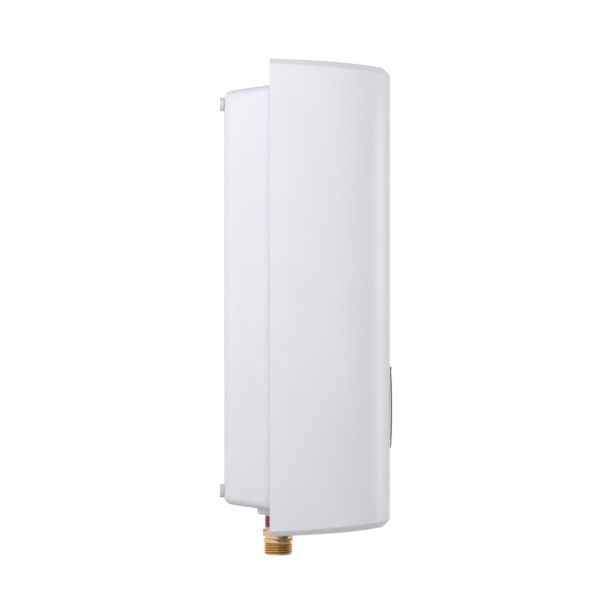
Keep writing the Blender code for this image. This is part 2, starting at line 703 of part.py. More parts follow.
def make_housing():
    rings = []
    for k in range(TUB_EDGE_STEPS + 1):
        angle = math.pi / 2 * k / TUB_EDGE_STEPS
        depth = TUB_BACK_DEPTH + TUB_EDGE_RADIUS * (1 - math.cos(angle))
        rings.append(tub_ring(depth, TUB_EDGE_RADIUS * (1 - math.sin(angle))))
    rings += [tub_ring(TUB_CREASE_DEPTH, 0), tub_ring(TUB_RIM_DEPTH, 0), tub_ring(TUB_RIM_DEPTH, TUB_WALL)]
    rings += [tub_ring(TUB_CREASE_DEPTH, TUB_WALL), tub_ring(TUB_FLOOR_DEPTH, TUB_WALL)]
    housing = make("rear_housing", loft(rings), WHITE_PLASTIC)

    # Everything moulded onto the tub overlaps its wall by half the wall's thickness
    sunk = TUB_WALL / 2
    back = TUB_FLOOR_DEPTH - sunk
    pillars = [rod(at(0, 0, z), TO_FRONT, PILLAR_RADIUS, back, BLOCK_BACK_DEPTH - REST_GAP, SCREW_SIDES)
               for z in (PILLAR_SCREW_TOP_Z, -PILLAR_SCREW_LOW_Z)]
    posts = [rod(at(x, 0, -CLAMP_Z), TO_FRONT, CLAMP_POST_RADIUS, back, TUB_FLOOR_DEPTH + CLAMP_POST_HEIGHT,
                 SCREW_SIDES) for x in (-CLAMP_POST_OFFSET, CLAMP_POST_OFFSET)]
    inner_half = TERMINAL_HALF_WIDTH - PEDESTAL_INSET
    pedestal = box((-inner_half, inner_half), (back, TUB_FLOOR_DEPTH + PEDESTAL_HEIGHT),
                   (-TERMINAL_LOW + PEDESTAL_INSET, -TERMINAL_HIGH - PEDESTAL_INSET))
    add(housing, boss_shape(sunk), *lug_shapes(0), *pillars, *posts, pedestal)

    collars = [rod(at(x, FITTING_DEPTH, -BOSS_BOTTOM), DOWN, BOSS_COLLAR_RADIUS, -sunk, BOSS_COLLAR_HEIGHT,
                   NIPPLE_SIDES) for x in (-FITTING_X, FITTING_X)]
    add(housing, *collars)

    hole = NIPPLE_SPIGOT_RADIUS + REST_GAP
    fitting_holes = [rod(at(x, FITTING_DEPTH, 0), DOWN, hole, NIPPLE_TOP,
                         BOSS_BOTTOM + BOSS_COLLAR_HEIGHT + OVERRUN, NIPPLE_SIDES)
                     for x in (-FITTING_X, FITTING_X)]
    screw_half = SCREW_RADIUS + REST_GAP
    cover_slot = box((-screw_half, screw_half), (COVER_SCREW_DEPTH - screw_half, TUB_RIM_DEPTH + OVERRUN),
                     (-BOSS_BOTTOM - OVERRUN, -NIPPLE_TOP))
    through = (TUB_BACK_DEPTH - OVERRUN, TUB_FLOOR_DEPTH + OVERRUN)
    slots = [slot_cutter(x, z, WALL_SLOT_HALF_WIDTH, WALL_SLOT_HALF_LENGTH, through)
             for x, z in wall_slot_places()]
    stems = [rod(at(x, 0, z), TO_FRONT, SPACER_STEM_RADIUS + REST_GAP, *through, SCREW_SIDES)
             for x, z in spacer_places()]
    cable_hole = rod(at(0, 0, -GROMMET_Z), TO_FRONT, GROMMET_HOLE_RADIUS, *through, NIPPLE_SIDES)
    pillar_holes = [rod(at(0, 0, z), TO_FRONT, SCREW_RADIUS + REST_GAP,
                        BLOCK_BACK_DEPTH - SCREW_GRIP - OVERRUN, BLOCK_BACK_DEPTH + OVERRUN, SCREW_SIDES)
                    for z in (PILLAR_SCREW_TOP_Z, -PILLAR_SCREW_LOW_Z)]
    post_top = TUB_FLOOR_DEPTH + CLAMP_POST_HEIGHT
    post_holes = [rod(at(x, 0, -CLAMP_Z), TO_FRONT, SMALL_SCREW_RADIUS + REST_GAP,
                      post_top - SMALL_SCREW_GRIP - OVERRUN, post_top + OVERRUN, SCREW_SIDES)
                  for x in (-CLAMP_POST_OFFSET, CLAMP_POST_OFFSET)]
    cut(housing, *fitting_holes, cover_slot, *slots, *stems, cable_hole, *pillar_holes, *post_holes)
    return housing


def boss_shape(sunk):
    """The boss's side outline, its rear lower corner rounded, drawn out along X."""
    centre_depth = BOSS_REAR_DEPTH + BOSS_EDGE_RADIUS
    centre_z = -BOSS_BOTTOM + BOSS_EDGE_RADIUS
    outline = [(TUB_RIM_DEPTH, -tub_half_height(TUB_RIM_DEPTH) + sunk), (TUB_RIM_DEPTH, -BOSS_BOTTOM)]
    for k in range(BOSS_EDGE_STEPS + 1):
        angle = math.pi / 2 * k / BOSS_EDGE_STEPS
        outline.append((centre_depth - BOSS_EDGE_RADIUS * math.sin(angle),
                        centre_z - BOSS_EDGE_RADIUS * math.cos(angle)))
    outline.append((BOSS_REAR_DEPTH, -tub_half_height(BOSS_REAR_DEPTH) + sunk))
    return loft([[at(x, d, z) for d, z in outline] for x in (-BOSS_HALF_WIDTH, BOSS_HALF_WIDTH)])


def lug_shapes(margin):
    """The two lugs on the top rim, or with a margin the slots that they pass through."""
    top = tub_half_height(TUB_RIM_DEPTH - LUG_ROOT) + margin
    reach = LEDGE_DEPTH + LEDGE_THICKNESS + LUG_REACH
    lugs = []
    for x in (-LUG_OFFSET, LUG_OFFSET):
        lugs.append(box((x - LUG_HALF_WIDTH - margin, x + LUG_HALF_WIDTH + margin),
                        (TUB_RIM_DEPTH - LUG_ROOT, reach), (top - TUB_WALL - 2 * margin, top)))
    return lugs


def spacer_places():
    return [(sx * SPACER_OFFSET_X, sz * SPACER_OFFSET_Z) for sz in (1, -1) for sx in (-1, 1)]


def wall_slot_places():
    return [(-WALL_SLOT_TOP_X, WALL_SLOT_TOP_Z), (WALL_SLOT_TOP_X, WALL_SLOT_TOP_Z),
            (-WALL_SLOT_LOW_X, -WALL_SLOT_LOW_Z), (WALL_SLOT_LOW_X, -WALL_SLOT_LOW_Z)]


def make_spacers():
    seat = TUB_BACK_DEPTH - REST_GAP
    profile = [(SPACER_RADIUS, 0), (SPACER_RADIUS, seat), (SPACER_STEM_RADIUS, seat),
               (SPACER_STEM_RADIUS, seat + SPACER_STEM_LENGTH)]
    for number, (x, z) in enumerate(spacer_places(), 1):
        make(f"wall_spacer_{number}", turned(at(x, 0, z), TO_FRONT, profile, NIPPLE_SIDES), WHITE_PLASTIC)


# Water fittings


def fitting_levels():
    """Heights below the origin of the fitting's shoulders, from the boss down."""
    marker_top = BOSS_BOTTOM + BOSS_COLLAR_HEIGHT + REST_GAP
    marker_bottom = marker_top + MARKER_HEIGHT
    washer_top = marker_bottom + REST_GAP
    neck_top = washer_top + WASHER_HEIGHT + REST_GAP
    hex_top = neck_top + NIPPLE_NECK_HEIGHT
    hex_bottom = hex_top + NIPPLE_HEX_HEIGHT
    collar_top = hex_bottom + NIPPLE_GROOVE_HEIGHT
    collar_bottom = collar_top + NIPPLE_COLLAR_HEIGHT
    return marker_top, marker_bottom, washer_top, neck_top, hex_top, hex_bottom, collar_top, collar_bottom


def thread_rings(place, top):
    """Rings whose radius follows a single-start helix of the thread's pitch and depth."""
    side, other = across(DOWN)
    root = THREAD_RADIUS - THREAD_DEPTH
    turns = THREAD_LENGTH / THREAD_PITCH
    rows = round(turns * THREAD_ROWS_PER_PITCH)
    rings = []
    for row in range(rows + 1):
        along = THREAD_LENGTH * row / rows
        fade = min(1, row / THREAD_ROWS_PER_PITCH, (rows - row) / THREAD_ROWS_PER_PITCH)
        centre = place + DOWN * (top + along)
        ring = []
        for i in range(NIPPLE_SIDES):
            phase = (along / THREAD_PITCH - i / NIPPLE_SIDES) % 1
            height = THREAD_DEPTH * (1 - abs(2 * phase - 1)) * fade
            angle = 2 * math.pi * i / NIPPLE_SIDES
            ring.append(centre + (side * math.cos(angle) + other * math.sin(angle)) * (root + height))
        rings.append(ring)
    return rings


def make_fitting(name, x):
    place = at(x, FITTING_DEPTH, 0)
    _, _, _, neck_top, hex_top, hex_bottom, collar_top, collar_bottom = fitting_levels()
    upper = [(NIPPLE_BORE_RADIUS, NIPPLE_TOP), (NIPPLE_SPIGOT_RADIUS, NIPPLE_TOP),
             (NIPPLE_SPIGOT_RADIUS, neck_top), (NIPPLE_NECK_RADIUS, neck_top), (NIPPLE_NECK_RADIUS, collar_top),
             (NIPPLE_COLLAR_RADIUS - NIPPLE_COLLAR_ROUND, collar_top),
             (NIPPLE_COLLAR_RADIUS, collar_top + NIPPLE_COLLAR_ROUND),
             (NIPPLE_COLLAR_RADIUS, collar_bottom - NIPPLE_COLLAR_ROUND),
             (NIPPLE_COLLAR_RADIUS - NIPPLE_COLLAR_ROUND, collar_bottom)]
    rings = [ring_of(place, DOWN, r, s, NIPPLE_SIDES) for r, s in upper]
    rings += thread_rings(place, collar_bottom)
    rings.append(ring_of(place, DOWN, NIPPLE_BORE_RADIUS, collar_bottom + THREAD_LENGTH, NIPPLE_SIDES))
    nipple = make(name, loft(rings, wrapped=True), BRASS, place)

    # The hexagon turns a corner to each side, so its flats lie front and back
    corner = NIPPLE_HEX_ACROSS / math.sqrt(3)
    drop = NIPPLE_HEX_CHAMFER
    flats = [(corner - drop, hex_top), (corner, hex_top + drop), (corner, hex_bottom - drop),
             (corner - drop, hex_bottom)]
    bore = NIPPLE_NECK_RADIUS - MARKER_WALL
    outer = turned(place, DOWN, flats, 6)
    add(nipple, outer)
    cut(nipple, rod(place, DOWN, NIPPLE_BORE_RADIUS, NIPPLE_TOP - OVERRUN,
                    collar_bottom + THREAD_LENGTH + OVERRUN, NIPPLE_SIDES))
    return nipple


def make_fitting_rings():
    marker_top, marker_bottom, washer_top, *_ = fitting_levels()
    bore = NIPPLE_SPIGOT_RADIUS + REST_GAP
    for side, x, colour in (("outlet", -FITTING_X, RED_PLASTIC), ("inlet", FITTING_X, BLUE_PLASTIC)):
        place = at(x, FITTING_DEPTH, 0)
        marker = [(bore, marker_top), (MARKER_RADIUS, marker_top), (MARKER_RADIUS, marker_bottom),
                  (bore, marker_bottom)]
        make(f"{side}_marker_ring", turned(place, DOWN, marker, NIPPLE_SIDES, bored=True), colour, place)
        low = washer_top + WASHER_HEIGHT
        washer = [(bore, washer_top), (WASHER_RADIUS, washer_top), (WASHER_RADIUS, low), (bore, low)]
        make(f"{side}_washer", turned(place, DOWN, washer, NIPPLE_SIDES, bored=True), NYLON, place)


def make_outlet_pipe():
    place = at(-FITTING_X, FITTING_DEPTH, 0)
    socket_top = TUB_SOCKET_BOTTOM - SOCKET_HEIGHT
    shoulder = NIPPLE_TOP - REST_GAP
    bore = NIPPLE_SPIGOT_RADIUS + REST_GAP
    top = SOCKET_END + REST_GAP
    profile = [(PIPE_BORE_RADIUS, top), (PIPE_RADIUS, top), (PIPE_RADIUS, socket_top - MARKER_WALL),
               (SOCKET_RADIUS, socket_top), (SOCKET_RADIUS, TUB_SOCKET_BOTTOM), (bore, TUB_SOCKET_BOTTOM),
               (bore, shoulder), (PIPE_BORE_RADIUS, shoulder)]
    pipe = make("outlet_pipe", turned(place, DOWN, profile, NIPPLE_SIDES, bored=True), PALE_PLASTIC, place)
    pad = box((-FITTING_X - PAD_HALF_WIDTH, -FITTING_X + PAD_HALF_WIDTH),
              (FITTING_DEPTH, FITTING_DEPTH + PAD_STANDING), (-PAD_LOW, -PAD_HIGH))
    add(pipe, pad)
    cut(pipe, rod(place, DOWN, PIPE_BORE_RADIUS, top - OVERRUN, TUB_SOCKET_BOTTOM, NIPPLE_SIDES))
    return pipe


# Inlet: stop valve, strainer, flow sensor


def make_stop_valve():
    place = at(FITTING_X, FITTING_DEPTH, 0)
    low = TUB_SOCKET_BOTTOM
    body = make("stop_valve_body",
                box((FITTING_X - VALVE_HALF_WIDTH, FITTING_X + VALVE_HALF_WIDTH),
                    (FITTING_DEPTH - VALVE_HALF_WIDTH, FITTING_DEPTH + VALVE_HALF_WIDTH), (-low, -VALVE_TOP)),
                BRASS, place)
    bevel(body, VALVE_EDGE)
    shoulder = NIPPLE_TOP - STRAINER_RIM_MARGIN
    cut(body, rod(place, DOWN, NIPPLE_SPIGOT_RADIUS + REST_GAP, shoulder, low + OVERRUN, NIPPLE_SIDES))
    cut(body, rod(place, DOWN, NIPPLE_BORE_RADIUS, VALVE_TOP - OVERRUN, low, NIPPLE_SIDES))
    chamber = rod(at(FITTING_X, FITTING_DEPTH, -PLUG_Z), TO_FRONT, PLUG_RADIUS + REST_GAP,
                  -PLUG_REACH - REST_GAP, VALVE_HALF_WIDTH + OVERRUN, NIPPLE_SIDES)
    cut(body, chamber)

    hub = at(FITTING_X, FITTING_DEPTH, -PLUG_Z)
    face = VALVE_HALF_WIDTH - REST_GAP
    tip = VALVE_HALF_WIDTH + REST_GAP + GLAND_HEIGHT + PLUG_STEM_STANDING
    profile = [(PLUG_RADIUS, -PLUG_REACH), (PLUG_RADIUS, face), (PLUG_STEM_RADIUS, face), (PLUG_STEM_RADIUS, tip)]
    plug = make("stop_valve_plug", turned(hub, TO_FRONT, profile, NIPPLE_SIDES), STEEL, hub)
    bore = rod(hub, UP, PLUG_BORE_RADIUS, -PLUG_RADIUS - OVERRUN, PLUG_RADIUS + OVERRUN, NIPPLE_SIDES)
    slot = box((FITTING_X - PLUG_SLOT_WIDTH / 2, FITTING_X + PLUG_SLOT_WIDTH / 2),
               (FITTING_DEPTH + tip - PLUG_SLOT_DEPTH, FITTING_DEPTH + tip + OVERRUN),
               (-PLUG_Z - PLUG_RADIUS, -PLUG_Z + PLUG_RADIUS))
    cut(plug, bore, slot)

    start = VALVE_HALF_WIDTH + REST_GAP
    nut = make("valve_gland_nut", rod(hub, TO_FRONT, GLAND_RADIUS, start, start + GLAND_HEIGHT, GLAND_SIDES),
               BRASS, hub)
    cut(nut, rod(hub, TO_FRONT, PLUG_STEM_RADIUS + REST_GAP, start - OVERRUN, start + GLAND_HEIGHT + OVERRUN,
                 NIPPLE_SIDES))


def make_strainer():
    """A hat-shaped filter whose brim lies on the fitting's end, its crown hanging in the fitting's bore."""
    place = at(FITTING_X, FITTING_DEPTH, 0)
    brim_top = NIPPLE_TOP - STRAINER_RIM_MARGIN + REST_GAP
    brim_low = NIPPLE_TOP - REST_GAP
    end = brim_low + STRAINER_LENGTH
    inner = STRAINER_RADIUS - STRAINER_WALL
    profile = [(inner, end - STRAINER_WALL), (inner, brim_top), (NIPPLE_SPIGOT_RADIUS, brim_top),
               (NIPPLE_SPIGOT_RADIUS, brim_low), (STRAINER_RADIUS, brim_low), (STRAINER_RADIUS, end)]
    strainer = make("inlet_strainer", turned(place, DOWN, profile, CHANNEL_SIDES), STEEL, place)
    half = STRAINER_WINDOW / 2
    high, low = -brim_low - STRAINER_WALL, -end + STRAINER_WALL + STRAINER_WALL
    reach = STRAINER_RADIUS + OVERRUN
    cut(strainer, box((FITTING_X - reach, FITTING_X + reach), (FITTING_DEPTH - half, FITTING_DEPTH + half),
                      (low, high)))
    cut(strainer, box((FITTING_X - half, FITTING_X + half), (FITTING_DEPTH - reach, FITTING_DEPTH + reach),
                      (low, high)))


def sensor_levels():
    """Heights below the origin: body bottom, chamber bottom, chamber top, body shoulder."""
    bottom = VALVE_TOP - REST_GAP
    shoulder = STUB_BOTTOM + REST_GAP
    return bottom, bottom - SENSOR_FLOOR, shoulder + SENSOR_FLOOR, shoulder


def make_flow_sensor():
    place = at(FITTING_X, FITTING_DEPTH, 0)
    bottom, chamber_low, chamber_high, shoulder = sensor_levels()
    spigot_low = bottom + SENSOR_SPIGOT_LENGTH
    spigot_high = SOCKET_END + LIMITER_HEIGHT + 2 * REST_GAP
    bore = NIPPLE_BORE_RADIUS - REST_GAP - MARKER_WALL
    profile = [(PIPE_BORE_RADIUS, spigot_high), (PIPE_RADIUS, spigot_high), (PIPE_RADIUS, shoulder),
               (SENSOR_RADIUS, shoulder), (SENSOR_RADIUS, bottom), (NIPPLE_BORE_RADIUS - REST_GAP, bottom),
               (NIPPLE_BORE_RADIUS - REST_GAP, spigot_low), (bore, spigot_low), (bore, chamber_low),
               (SENSOR_CHAMBER_RADIUS, chamber_low), (SENSOR_CHAMBER_RADIUS, chamber_high),
               (PIPE_BORE_RADIUS, chamber_high)]
    body = make("flow_sensor_body", turned(place, DOWN, profile, CHANNEL_SIDES, bored=True), BLACK_PLASTIC, place)
    sunk = SENSOR_CHAMBER_RADIUS + (SENSOR_RADIUS - SENSOR_CHAMBER_RADIUS) / 2
    for low, high in spider_levels():
        add(body, box((FITTING_X - sunk, FITTING_X + sunk),
                      (FITTING_DEPTH - SPIDER_HALF_WIDTH, FITTING_DEPTH + SPIDER_HALF_WIDTH), (-low, -high)))
        add(body, box((FITTING_X - SPIDER_HALF_WIDTH, FITTING_X + SPIDER_HALF_WIDTH),
                      (FITTING_DEPTH - sunk, FITTING_DEPTH + sunk), (-low, -high)))
        add(body, rod(place, DOWN, SPIDER_HUB_RADIUS, high, low, SCREW_SIDES))
    cut(body, rod(place, DOWN, AXLE_RADIUS + REST_GAP, chamber_high, chamber_low, SCREW_SIDES))

    low_spider, high_spider = spider_levels()
    make("turbine_axle", rod(place, DOWN, AXLE_RADIUS, high_spider[1], low_spider[0], SCREW_SIDES), STEEL, place)

    half = PICKUP_HALF_HEIGHT
    middle = -(bottom + shoulder) / 2
    near = FITTING_DEPTH + SENSOR_RADIUS + REST_GAP
    pickup = make("flow_pickup", box((FITTING_X - PICKUP_HALF_WIDTH, FITTING_X + PICKUP_HALF_WIDTH),
                                     (near, near + PICKUP_THICKNESS), (middle - half, middle + half)),
                  BLACK_PLASTIC, place)
    bevel(pickup, RELAY_EDGE)

    top = SOCKET_END + REST_GAP
    limiter = [(LIMITER_HOLE_RADIUS, top), (LIMITER_RADIUS, top), (LIMITER_RADIUS, top + LIMITER_HEIGHT),
               (LIMITER_HOLE_RADIUS, top + LIMITER_HEIGHT)]
    make("flow_limiter", turned(place, DOWN, limiter, CHANNEL_SIDES, bored=True), RUBBER, place)


def spider_levels():
    """(bottom, top) of the lower and the upper spider, as heights below the origin."""
    _, chamber_low, chamber_high, _ = sensor_levels()
    inset = SPIDER_HALF_WIDTH
    return ((chamber_low - inset, chamber_low - inset - SPIDER_HEIGHT),
            (chamber_high + inset + SPIDER_HEIGHT, chamber_high + inset))


def make_turbine():
    low_spider, high_spider = spider_levels()
    low, high = low_spider[1] - REST_GAP, high_spider[0] + REST_GAP
    place = at(FITTING_X, FITTING_DEPTH, -(low + high) / 2)
    half = (low - high) / 2
    hub = [(AXLE_RADIUS + REST_GAP, -half), (TURBINE_HUB_RADIUS, -half), (TURBINE_HUB_RADIUS, half),
           (AXLE_RADIUS + REST_GAP, half)]
    turbine = make("flow_turbine", turned(place, UP, hub, SCREW_SIDES, bored=True), NYLON, place)
    reach = half - TURBINE_BLADE_MARGIN
    thick = TURBINE_BLADE_THICKNESS / 2
    root = (AXLE_RADIUS + TURBINE_HUB_RADIUS) / 2 + REST_GAP
    blades = []
    for blade in range(TURBINE_BLADES):
        rings = []
        for share in (-1, 0, 1):
            angle = 2 * math.pi * blade / TURBINE_BLADES + math.radians(TURBINE_TWIST_DEG) * share / 2
            out = Vector((math.cos(angle), math.sin(angle), 0))
            wide = Vector((-math.sin(angle), math.cos(angle), 0)) * thick
            centre = place + UP * reach * share
            rings.append([centre + out * root - wide, centre + out * TURBINE_RADIUS - wide,
                          centre + out * TURBINE_RADIUS + wide, centre + out * root + wide])
        blades.append(loft(rings))
    add(turbine, *blades)
    return turbine


# Heater


def make_heater_block():
    place = at(0, FITTING_DEPTH, 0)
    block = make("heater_block", box((-BLOCK_HALF_WIDTH, BLOCK_HALF_WIDTH), (BLOCK_BACK_DEPTH, BLOCK_FRONT_DEPTH),
                                     (-BLOCK_BOTTOM, BLOCK_TOP)), HEATER_PLASTIC, place)
    bevel(block, BLOCK_EDGE)
    posts = [rod(at(x, 0, z), TO_FRONT, BOARD_POST_RADIUS, BLOCK_FRONT_DEPTH - BLOCK_EDGE,
                 BLOCK_FRONT_DEPTH + BOARD_POST_HEIGHT, SCREW_SIDES) for x, z in board_post_places()]
    add(block, *posts)
    channels = [rod(at(x, FITTING_DEPTH, 0), UP, CHANNEL_RADIUS, -BLOCK_BOTTOM - OVERRUN, BLOCK_TOP + OVERRUN,
                    CHANNEL_SIDES) for x in CHANNELS_X]
    screw_holes = [rod(at(0, 0, z), TO_FRONT, SCREW_RADIUS + REST_GAP, BLOCK_BACK_DEPTH - OVERRUN,
                       BLOCK_FRONT_DEPTH + OVERRUN, SCREW_SIDES)
                   for z in (PILLAR_SCREW_TOP_Z, -PILLAR_SCREW_LOW_Z)]
    post_top = BLOCK_FRONT_DEPTH + BOARD_POST_HEIGHT
    board_holes = [rod(at(x, 0, z), TO_FRONT, SMALL_SCREW_RADIUS + REST_GAP,
                       post_top - SMALL_SCREW_GRIP - OVERRUN, post_top + OVERRUN, SCREW_SIDES)
                   for x, z in board_screw_places()]
    cut(block, *channels, *screw_holes, *board_holes)


def board_post_places():
    left, right = -BOARD_LEFT + BOARD_POST_INSET, BOARD_RIGHT - BOARD_POST_INSET
    low, high = -BOARD_LOW_Z + BOARD_POST_INSET, BOARD_HIGH_Z - BOARD_POST_INSET
    return [(left, high), (right, low), (left, low), (right, high)]


def board_screw_places():
    return board_post_places()[:2]


def turn_pocket(left, right, low, high):
    """A flat-ended pocket that joins two channels."""
    reach = CHANNEL_RADIUS - OVERRUN
    return box((left - reach, right + reach), (FITTING_DEPTH - reach, FITTING_DEPTH + reach), (low, high))


def make_headers():
    place = at(0, FITTING_DEPTH, 0)
    lower = make("lower_header", box((-BLOCK_HALF_WIDTH, BLOCK_HALF_WIDTH), (BLOCK_BACK_DEPTH, BLOCK_FRONT_DEPTH),
                                     (-LOW_HEADER_BOTTOM, -LOW_HEADER_TOP)), GREY_PLASTIC, place)
    bevel(lower, BLOCK_EDGE)
    stubs = [rod(at(x, FITTING_DEPTH, 0), DOWN, PORT_STUB_RADIUS, LOW_HEADER_BOTTOM - HEADER_FLOOR, STUB_BOTTOM,
                 CHANNEL_SIDES) for x in (-FITTING_X, FITTING_X)]
    add(lower, *stubs)
    ports = [rod(at(x, FITTING_DEPTH, 0), DOWN, PIPE_BORE_RADIUS, LOW_HEADER_TOP - OVERRUN, STUB_BOTTOM,
                 CHANNEL_SIDES) for x in (-FITTING_X, FITTING_X)]
    pocket = turn_pocket(CHANNELS_X[2], CHANNELS_X[1], -LOW_HEADER_BOTTOM + HEADER_FLOOR,
                         -LOW_HEADER_TOP + OVERRUN)
    cut(lower, *ports, pocket)
    sockets = [rod(at(x, FITTING_DEPTH, 0), DOWN, PIPE_RADIUS + REST_GAP, SOCKET_END, STUB_BOTTOM + OVERRUN,
                   CHANNEL_SIDES) for x in (-FITTING_X, FITTING_X)]
    probe_start = BLOCK_FRONT_DEPTH - PROBE_TIP_LENGTH - OVERRUN
    probes = [rod(at(x, 0, -probe_level()), TO_FRONT, PROBE_TIP_RADIUS + REST_GAP, probe_start,
                  BLOCK_FRONT_DEPTH + OVERRUN, SCREW_SIDES) for x in (-FITTING_X, FITTING_X)]
    cut(lower, *sockets, *probes)

    upper = make("upper_header", box((-BLOCK_HALF_WIDTH, BLOCK_HALF_WIDTH), (BLOCK_BACK_DEPTH, BLOCK_FRONT_DEPTH),
                                     (HIGH_HEADER_BOTTOM, HIGH_HEADER_TOP)), GREY_PLASTIC, place)
    bevel(upper, BLOCK_EDGE)
    roof = HIGH_HEADER_TOP - HEADER_FLOOR
    pockets = [turn_pocket(CHANNELS_X[1], CHANNELS_X[0], HIGH_HEADER_BOTTOM - OVERRUN, roof),
               turn_pocket(CHANNELS_X[3], CHANNELS_X[2], HIGH_HEADER_BOTTOM - OVERRUN, roof)]
    cut(upper, *pockets)
    pins = [rod(at(x, FITTING_DEPTH, 0), UP, COIL_WIRE_RADIUS + REST_GAP, roof - OVERRUN,
                HIGH_HEADER_TOP + OVERRUN, SCREW_SIDES) for channel in CHANNELS_X[:3]
            for x in (channel, channel - COIL_RADIUS)]
    cut(upper, *pins)


def probe_level():
    return (LOW_HEADER_TOP + LOW_HEADER_BOTTOM) / 2


def tube(name, points, radius, resolution, finish):
    """A round wire along points, as a curve with a bevel and closed ends."""
    curve = bpy.data.curves.new(name, "CURVE")
    curve.dimensions = "3D"
    curve.bevel_depth = radius
    curve.bevel_resolution = resolution
    curve.use_fill_caps = True
    spline = curve.splines.new("POLY")
    spline.points.add(len(points) - 1)
    for target, point in zip(spline.points, points):
        target.co = (*point, 1)
    wire = bpy.data.objects.new(name, curve)
    bpy.context.scene.collection.objects.link(wire)
    curve.materials.append(material_of(finish))
    return wire


def make_coils():
    """Each coil goes down its helix and comes back up the channel's axis, both ends through the header."""
    pin_top = HIGH_HEADER_TOP + COIL_PIN_STANDING
    start, end = BLOCK_TOP - COIL_TOP_MARGIN, -BLOCK_BOTTOM + COIL_LOW_MARGIN
    for number, x in enumerate(CHANNELS_X[:3], 1):
        steps = COIL_TURNS * COIL_POINTS_PER_TURN
        points = [at(x - COIL_RADIUS, FITTING_DEPTH, pin_top)]
        for k in range(steps + 1):
            angle = math.pi + 2 * math.pi * k / COIL_POINTS_PER_TURN
            points.append(at(x + COIL_RADIUS * math.cos(angle), FITTING_DEPTH + COIL_RADIUS * math.sin(angle),
                             start + (end - start) * k / steps))
        low = end - COIL_RADIUS / 2
        points += [at(x - COIL_RADIUS / 2, FITTING_DEPTH, low), at(x, FITTING_DEPTH, end),
                   at(x, FITTING_DEPTH, pin_top)]
        tube(f"heating_coil_{number}", points, COIL_WIRE_RADIUS, 0, RESISTANCE_WIRE)


def make_thermal_cutout():
    near = FITTING_DEPTH + PAD_STANDING + REST_GAP
    front = near + CUTOUT_THICKNESS
    low, high = -PAD_LOW - CUTOUT_MARGIN, -PAD_HIGH + CUTOUT_MARGIN
    place = at(-FITTING_X, front, (low + high) / 2)
    body = make("thermal_cutout", box((-FITTING_X - CUTOUT_HALF_WIDTH, -FITTING_X + CUTOUT_HALF_WIDTH),
                                      (near, front), (low, high)), BLACK_PLASTIC, place)
    bevel(body, CUTOUT_EDGE)
    middle = (near + front) / 2
    blades = [box((x - CUTOUT_BLADE_HALF_WIDTH, x + CUTOUT_BLADE_HALF_WIDTH),
                  (middle - CUTOUT_BLADE_THICKNESS / 2, middle + CUTOUT_BLADE_THICKNESS / 2),
                  (high - CUTOUT_EDGE, high + CUTOUT_BLADE_LENGTH))
              for x in (-FITTING_X - CUTOUT_BLADE_SPREAD, -FITTING_X + CUTOUT_BLADE_SPREAD)]
    add(body, *blades)
    floor = BUTTON_LENGTH - BUTTON_STANDING + BUTTON_TRAVEL + REST_GAP
    cut(body, rod(place, TO_WALL, BUTTON_RADIUS + REST_GAP, -OVERRUN, floor, SCREW_SIDES))
    make("reset_button", rod(place, TO_WALL, BUTTON_RADIUS, -BUTTON_STANDING, BUTTON_LENGTH - BUTTON_STANDING,
                             SCREW_SIDES), WATER_RED, place)


def make_probes():
    seat = BLOCK_FRONT_DEPTH + REST_GAP
    for side, x in (("outlet", -FITTING_X), ("inlet", FITTING_X)):
        place = at(x, seat, -probe_level())
        profile = [(PROBE_TIP_RADIUS, -PROBE_TIP_LENGTH), (PROBE_TIP_RADIUS, 0), (PROBE_HEX_RADIUS, 0),
                   (PROBE_HEX_RADIUS, PROBE_HEX_HEIGHT), (PROBE_PLUG_RADIUS, PROBE_HEX_HEIGHT),
                   (PROBE_PLUG_RADIUS, PROBE_HEX_HEIGHT + PROBE_PLUG_HEIGHT)]
        make(f"{side}_temperature_sensor", turned(place, TO_FRONT, profile, SCREW_SIDES), BRASS, place)


def make_block_screws():
    seat = BLOCK_FRONT_DEPTH + REST_GAP
    length = seat - BLOCK_BACK_DEPTH + SCREW_GRIP
    for number, z in enumerate((PILLAR_SCREW_TOP_Z, -PILLAR_SCREW_LOW_Z), 1):
        screw(f"block_screw_{number}", at(0, seat, z), TO_WALL, (SCREW_RADIUS, length),
              (SCREW_HEAD_RADIUS, SCREW_HEAD_HEIGHT))


# Electronics


